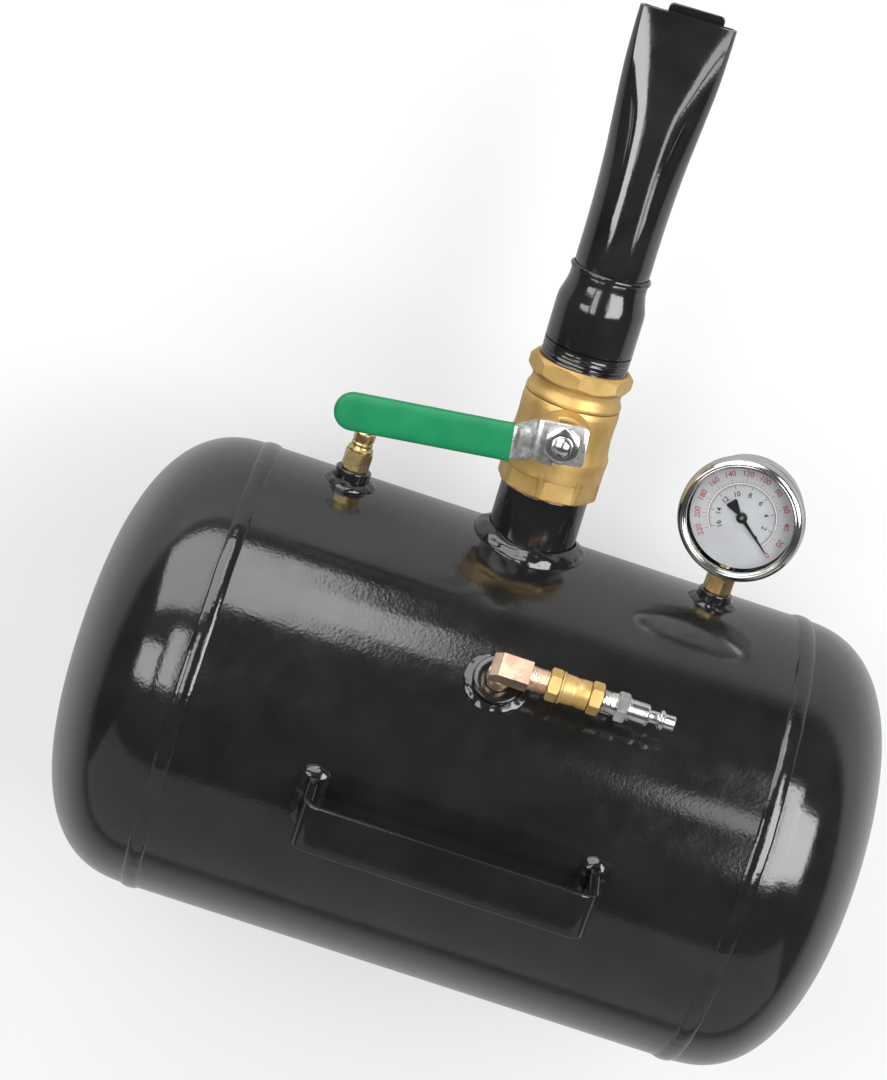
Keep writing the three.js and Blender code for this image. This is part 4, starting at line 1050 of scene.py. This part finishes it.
def add_inlet():
    add_elbow()
    line = INLET_LINE @ ALONG_X
    hexagon = nut(15.2, 23.9, 30.2, corner=0.2, bore=6.9)
    sleeve = [(5.6, 30.3), (8.6, 30.3), (8.7, 31.2), (7.8, 31.9), (7.7, 37), (7.35, 38), (7.35, 40),
              (7.7, 41), (7.7, 45.6), (5.6, 45.6)]
    piece("check_valve_body", hexagon, line, "cast_brass", loop=True,
          extra=[(lathe(rounded(sleeve, 0.3)), True)])
    cap = nut(15.2, 46.1, 52.5, corner=0.2, bore=6.7)
    spigot = lathe([(3, 40.4), (5.8, 40.4), (5.8, 47), (3, 47)])
    piece("check_valve_end", cap, line, "cast_brass", loop=True, extra=[(spigot, True)])
    bore = 2.5
    male = thread(6.4, 0.62, 1.3, 47.2, 60.4, bore)
    plug_hex = nut(14, 60.5, 66.5, corner=0.4, bore=bore)
    nose = [(bore, 66.4), (6.3, 66.4), (6.3, 67.4), (5.8, 68), (5.9, 76.8), (5.2, 77.8), (3.5, 78.6),
            (3.5, 82.8), (4.6, 83.4), (5.2, 84), (5.2, 85.4), (4.6, 86), (4, 86.3), (4, 91.4), (3.5, 92),
            (bore, 92), (bore, 67)]
    piece("air_plug", male, line, "nickel", loop=True,
          extra=[(plug_hex, True), (lathe(rounded(nose, 0.25)), True)])


def add_elbow():
    """A forged elbow: a round leg, a block with a knocked-off corner and a threaded arm."""
    half, bore = 6.3, 4
    block = [(-half, -6.4), (-half, 2), (-2, half), (14, half), (14, -half), (6.6, -half), (5.6, -6.6)]
    leg = [(bore, -17.6), (6.2, -17.6), (6.7, -16.8), (6.7, -6.2), (bore, -6.2)]
    parts = [
        (lathe(rounded(leg, 0.4), 48), True),
        (thread(6.4, 0.5, 1.3, -28.5, -18, bore), True),
        (turned(thread(6.5, 0.65, 1.3, 13.6, 29.4, bore), ALONG_X), True),
    ]
    elbow = piece("inlet_elbow", prism(block, -half, half), INLET_LINE, "forged_brass", sharp=42,
                  extra=parts)
    round_edges(elbow, 0.9)


# ---- Springs ----


def coil(name, matrix, length, r, turns):
    """A compression spring that stands along Y from the matrix's origin."""
    steps, wire = turns * 24, 0.36
    rings = []
    for step in range(steps + 1):
        share = step / steps
        rings.append(wire_ring(TAU * turns * share, r, wire + (length - 2 * wire) * share, wire))
    return piece(name, rings, matrix, "spring_steel")


def add_springs():
    """Coils for the relief spring and the check spring, each as long as its CAD spring; the fixed ends are
    the relief spring's top and the check spring's start.
    """
    low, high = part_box("relief_spring")
    length = (high.y - low.y) / MM
    foot = shifted(RELIEF, y=(low.y - CENTRE.y) / MM)
    spring = coil("relief_spring", foot, length, r=2.6, turns=5)
    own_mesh(spring)
    low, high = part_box("check_spring")
    length = (high.x - low.x) / MM
    foot = shifted(INLET_LINE, x=middle("check_spring").x - length / 2 - INLET_X) @ ALONG_X
    spring = coil("check_spring", foot, length, r=3.6, turns=4)
    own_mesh(spring)


# ---- CAD nodes that stay: hidden workings and small round parts ----


def finish_frame():
    for name, thing in nodes.items():
        thing.data.materials.clear()
        thing.data.materials.append(FINISH[SLOT_OF[name]])


# ---- Camera, floor and lights ----

VIEW_AZIMUTH = math.radians(-2.93)
VIEW_ELEVATION = math.radians(21.99)
VIEW_ROLL = math.radians(18.57)
VIEW_DISTANCE = 1.7265
VIEW_LENS = 103.14
VIEW_TARGET = Vector((-0.0493, 0.1130, 0))


def add_camera():
    direction = Vector((
        math.sin(VIEW_AZIMUTH),
        math.sin(VIEW_ELEVATION) * math.cos(VIEW_AZIMUTH),
        math.cos(VIEW_ELEVATION) * math.cos(VIEW_AZIMUTH),
    ))
    place = direction * VIEW_DISTANCE
    forward = (VIEW_TARGET - place).normalized()
    right = forward.cross(Vector((0, 1, 0))).normalized()
    up = right.cross(forward)
    image_right = right * math.cos(VIEW_ROLL) + up * math.sin(VIEW_ROLL)
    image_up = up * math.cos(VIEW_ROLL) - right * math.sin(VIEW_ROLL)
    data = bpy.data.cameras.new("camera")
    data.lens = VIEW_LENS
    data.clip_end = 30
    camera = bpy.data.objects.new("camera", data)
    turn = Matrix((image_right, image_up, -forward)).transposed().to_4x4()
    camera.matrix_world = Matrix.Translation(CENTRE + place) @ turn
    bpy.context.scene.collection.objects.link(camera)
    bpy.context.scene.camera = camera


# The floor and the sky are brighter to the camera than in the paint's reflections.
FLOOR_SEEN = 0.42
FLOOR_GLOW = 0.42
FLOOR_MIRRORED = 0.4
SKY_SEEN = 0.95
SKY_MIRRORED = 0.08
SKY_FILL = 0.5


def by_ray(tree, ray, value, other):
    """Takes value on rays of that kind, and other on the rest."""
    path = tree.nodes.new("ShaderNodeLightPath")
    mix = tree.nodes.new("ShaderNodeMix")
    mix.inputs["B"].default_value = value
    if isinstance(other, float):
        mix.inputs["A"].default_value = other
    else:
        link(tree, other, "Result", mix, "A")
    link(tree, path, ray, mix, "Factor")
    return mix


def add_floor():
    half, thick = 6, 0.4
    shape = bmesh.new()
    add_rings(shape, prism([(half, half), (-half, half), (-half, -half), (half, -half)], -thick, 0))
    mesh = bpy.data.meshes.new("floor")
    shape.to_mesh(mesh)
    shape.free()
    paint = surface("pale_floor", [grey(0.86), grey(0.9)], (0.6, 0.7), patch=3, bumps=[(300, 0.02, 2)],
                    specular=0.2)
    tree = paint.node_tree
    shader = tree.nodes["Principled BSDF"]
    tone = shader.inputs["Base Color"].links[0].from_socket
    dim = tree.nodes.new("ShaderNodeVectorMath")
    dim.operation = "SCALE"
    tree.links.new(tone, dim.inputs[0])
    link(tree, by_ray(tree, "Is Camera Ray", FLOOR_SEEN, FLOOR_MIRRORED), "Result", dim, "Scale")
    link(tree, dim, "Vector", shader, "Base Color")
    shader.inputs["Emission Color"].default_value = (1, 1, 1, 1)
    link(tree, by_ray(tree, "Is Camera Ray", FLOOR_GLOW, 0.0), "Result", shader, "Emission Strength")
    mesh.materials.append(paint)
    floor = bpy.data.objects.new("floor", mesh)
    bpy.context.scene.collection.objects.link(floor)


def add_light(name, x, angle, size, radiance, distance=1.6, shape="RECTANGLE"):
    """A soft box of (width, height) metres that faces the tank's axis.

    Its angle is measured round the axis, in degrees from straight up towards +Y."""
    tilt = math.radians(angle)
    away = Vector((0, math.sin(tilt), math.cos(tilt)))
    data = bpy.data.lights.new(name, "AREA")
    data.shape = shape
    data.size, data.size_y = size
    data.energy = radiance * math.pi * size[0] * size[1]
    light = bpy.data.objects.new(name, data)
    turn = Matrix((Vector((1, 0, 0)), away.cross(Vector((1, 0, 0))), away)).transposed().to_4x4()
    light.matrix_world = Matrix.Translation(CENTRE + Vector((x, 0, 0)) + away * distance) @ turn
    light.visible_camera = False
    bpy.context.scene.collection.objects.link(light)


def add_studio():
    add_light("left_box", -1.18, 66, (1.75, 1.25), 3.6)
    add_light("left_tail_wide", -0.18, 68, (0.2, 0.96), 4.5)
    add_light("left_tail_narrow", -0.035, 66, (0.11, 0.42), 4)
    add_light("left_panel", -1.5, 14, (1.2, 0.6), 5)
    add_light("left_strip", -0.55, 20, (0.4, 0.8), 5)
    add_light("right_near_box", 0.66, 30, (0.4, 1.45), 8)
    add_light("right_far_box", 1.45, 27, (1.2, 1.1), 8)
    add_light("right_tail", 0.34, 30, (0.14, 0.28), 2.4, shape="ELLIPSE")
    add_light("low_card", 0, -60, (5, 1.75), 0.33, 1.7)
    world = bpy.data.worlds.new("studio")
    world.use_nodes = True
    tree = world.node_tree
    sky = tree.nodes["Background"]
    sky.inputs["Color"].default_value = (1, 1, 1, 1)
    strength = by_ray(tree, "Is Glossy Ray", SKY_MIRRORED, SKY_FILL)
    link(tree, by_ray(tree, "Is Camera Ray", SKY_SEEN, strength), "Result", sky, "Strength")
    bpy.context.scene.world = world
    bpy.context.scene.view_settings.view_transform = "Standard"


add_camera()
add_floor()
add_studio()
finish_frame()
add_tank()
add_handle()
add_feet()
add_bosses()
add_outlet()
add_valve()
add_lever()
add_barrel()
add_relief()
add_gauge()
add_inlet()
add_springs()
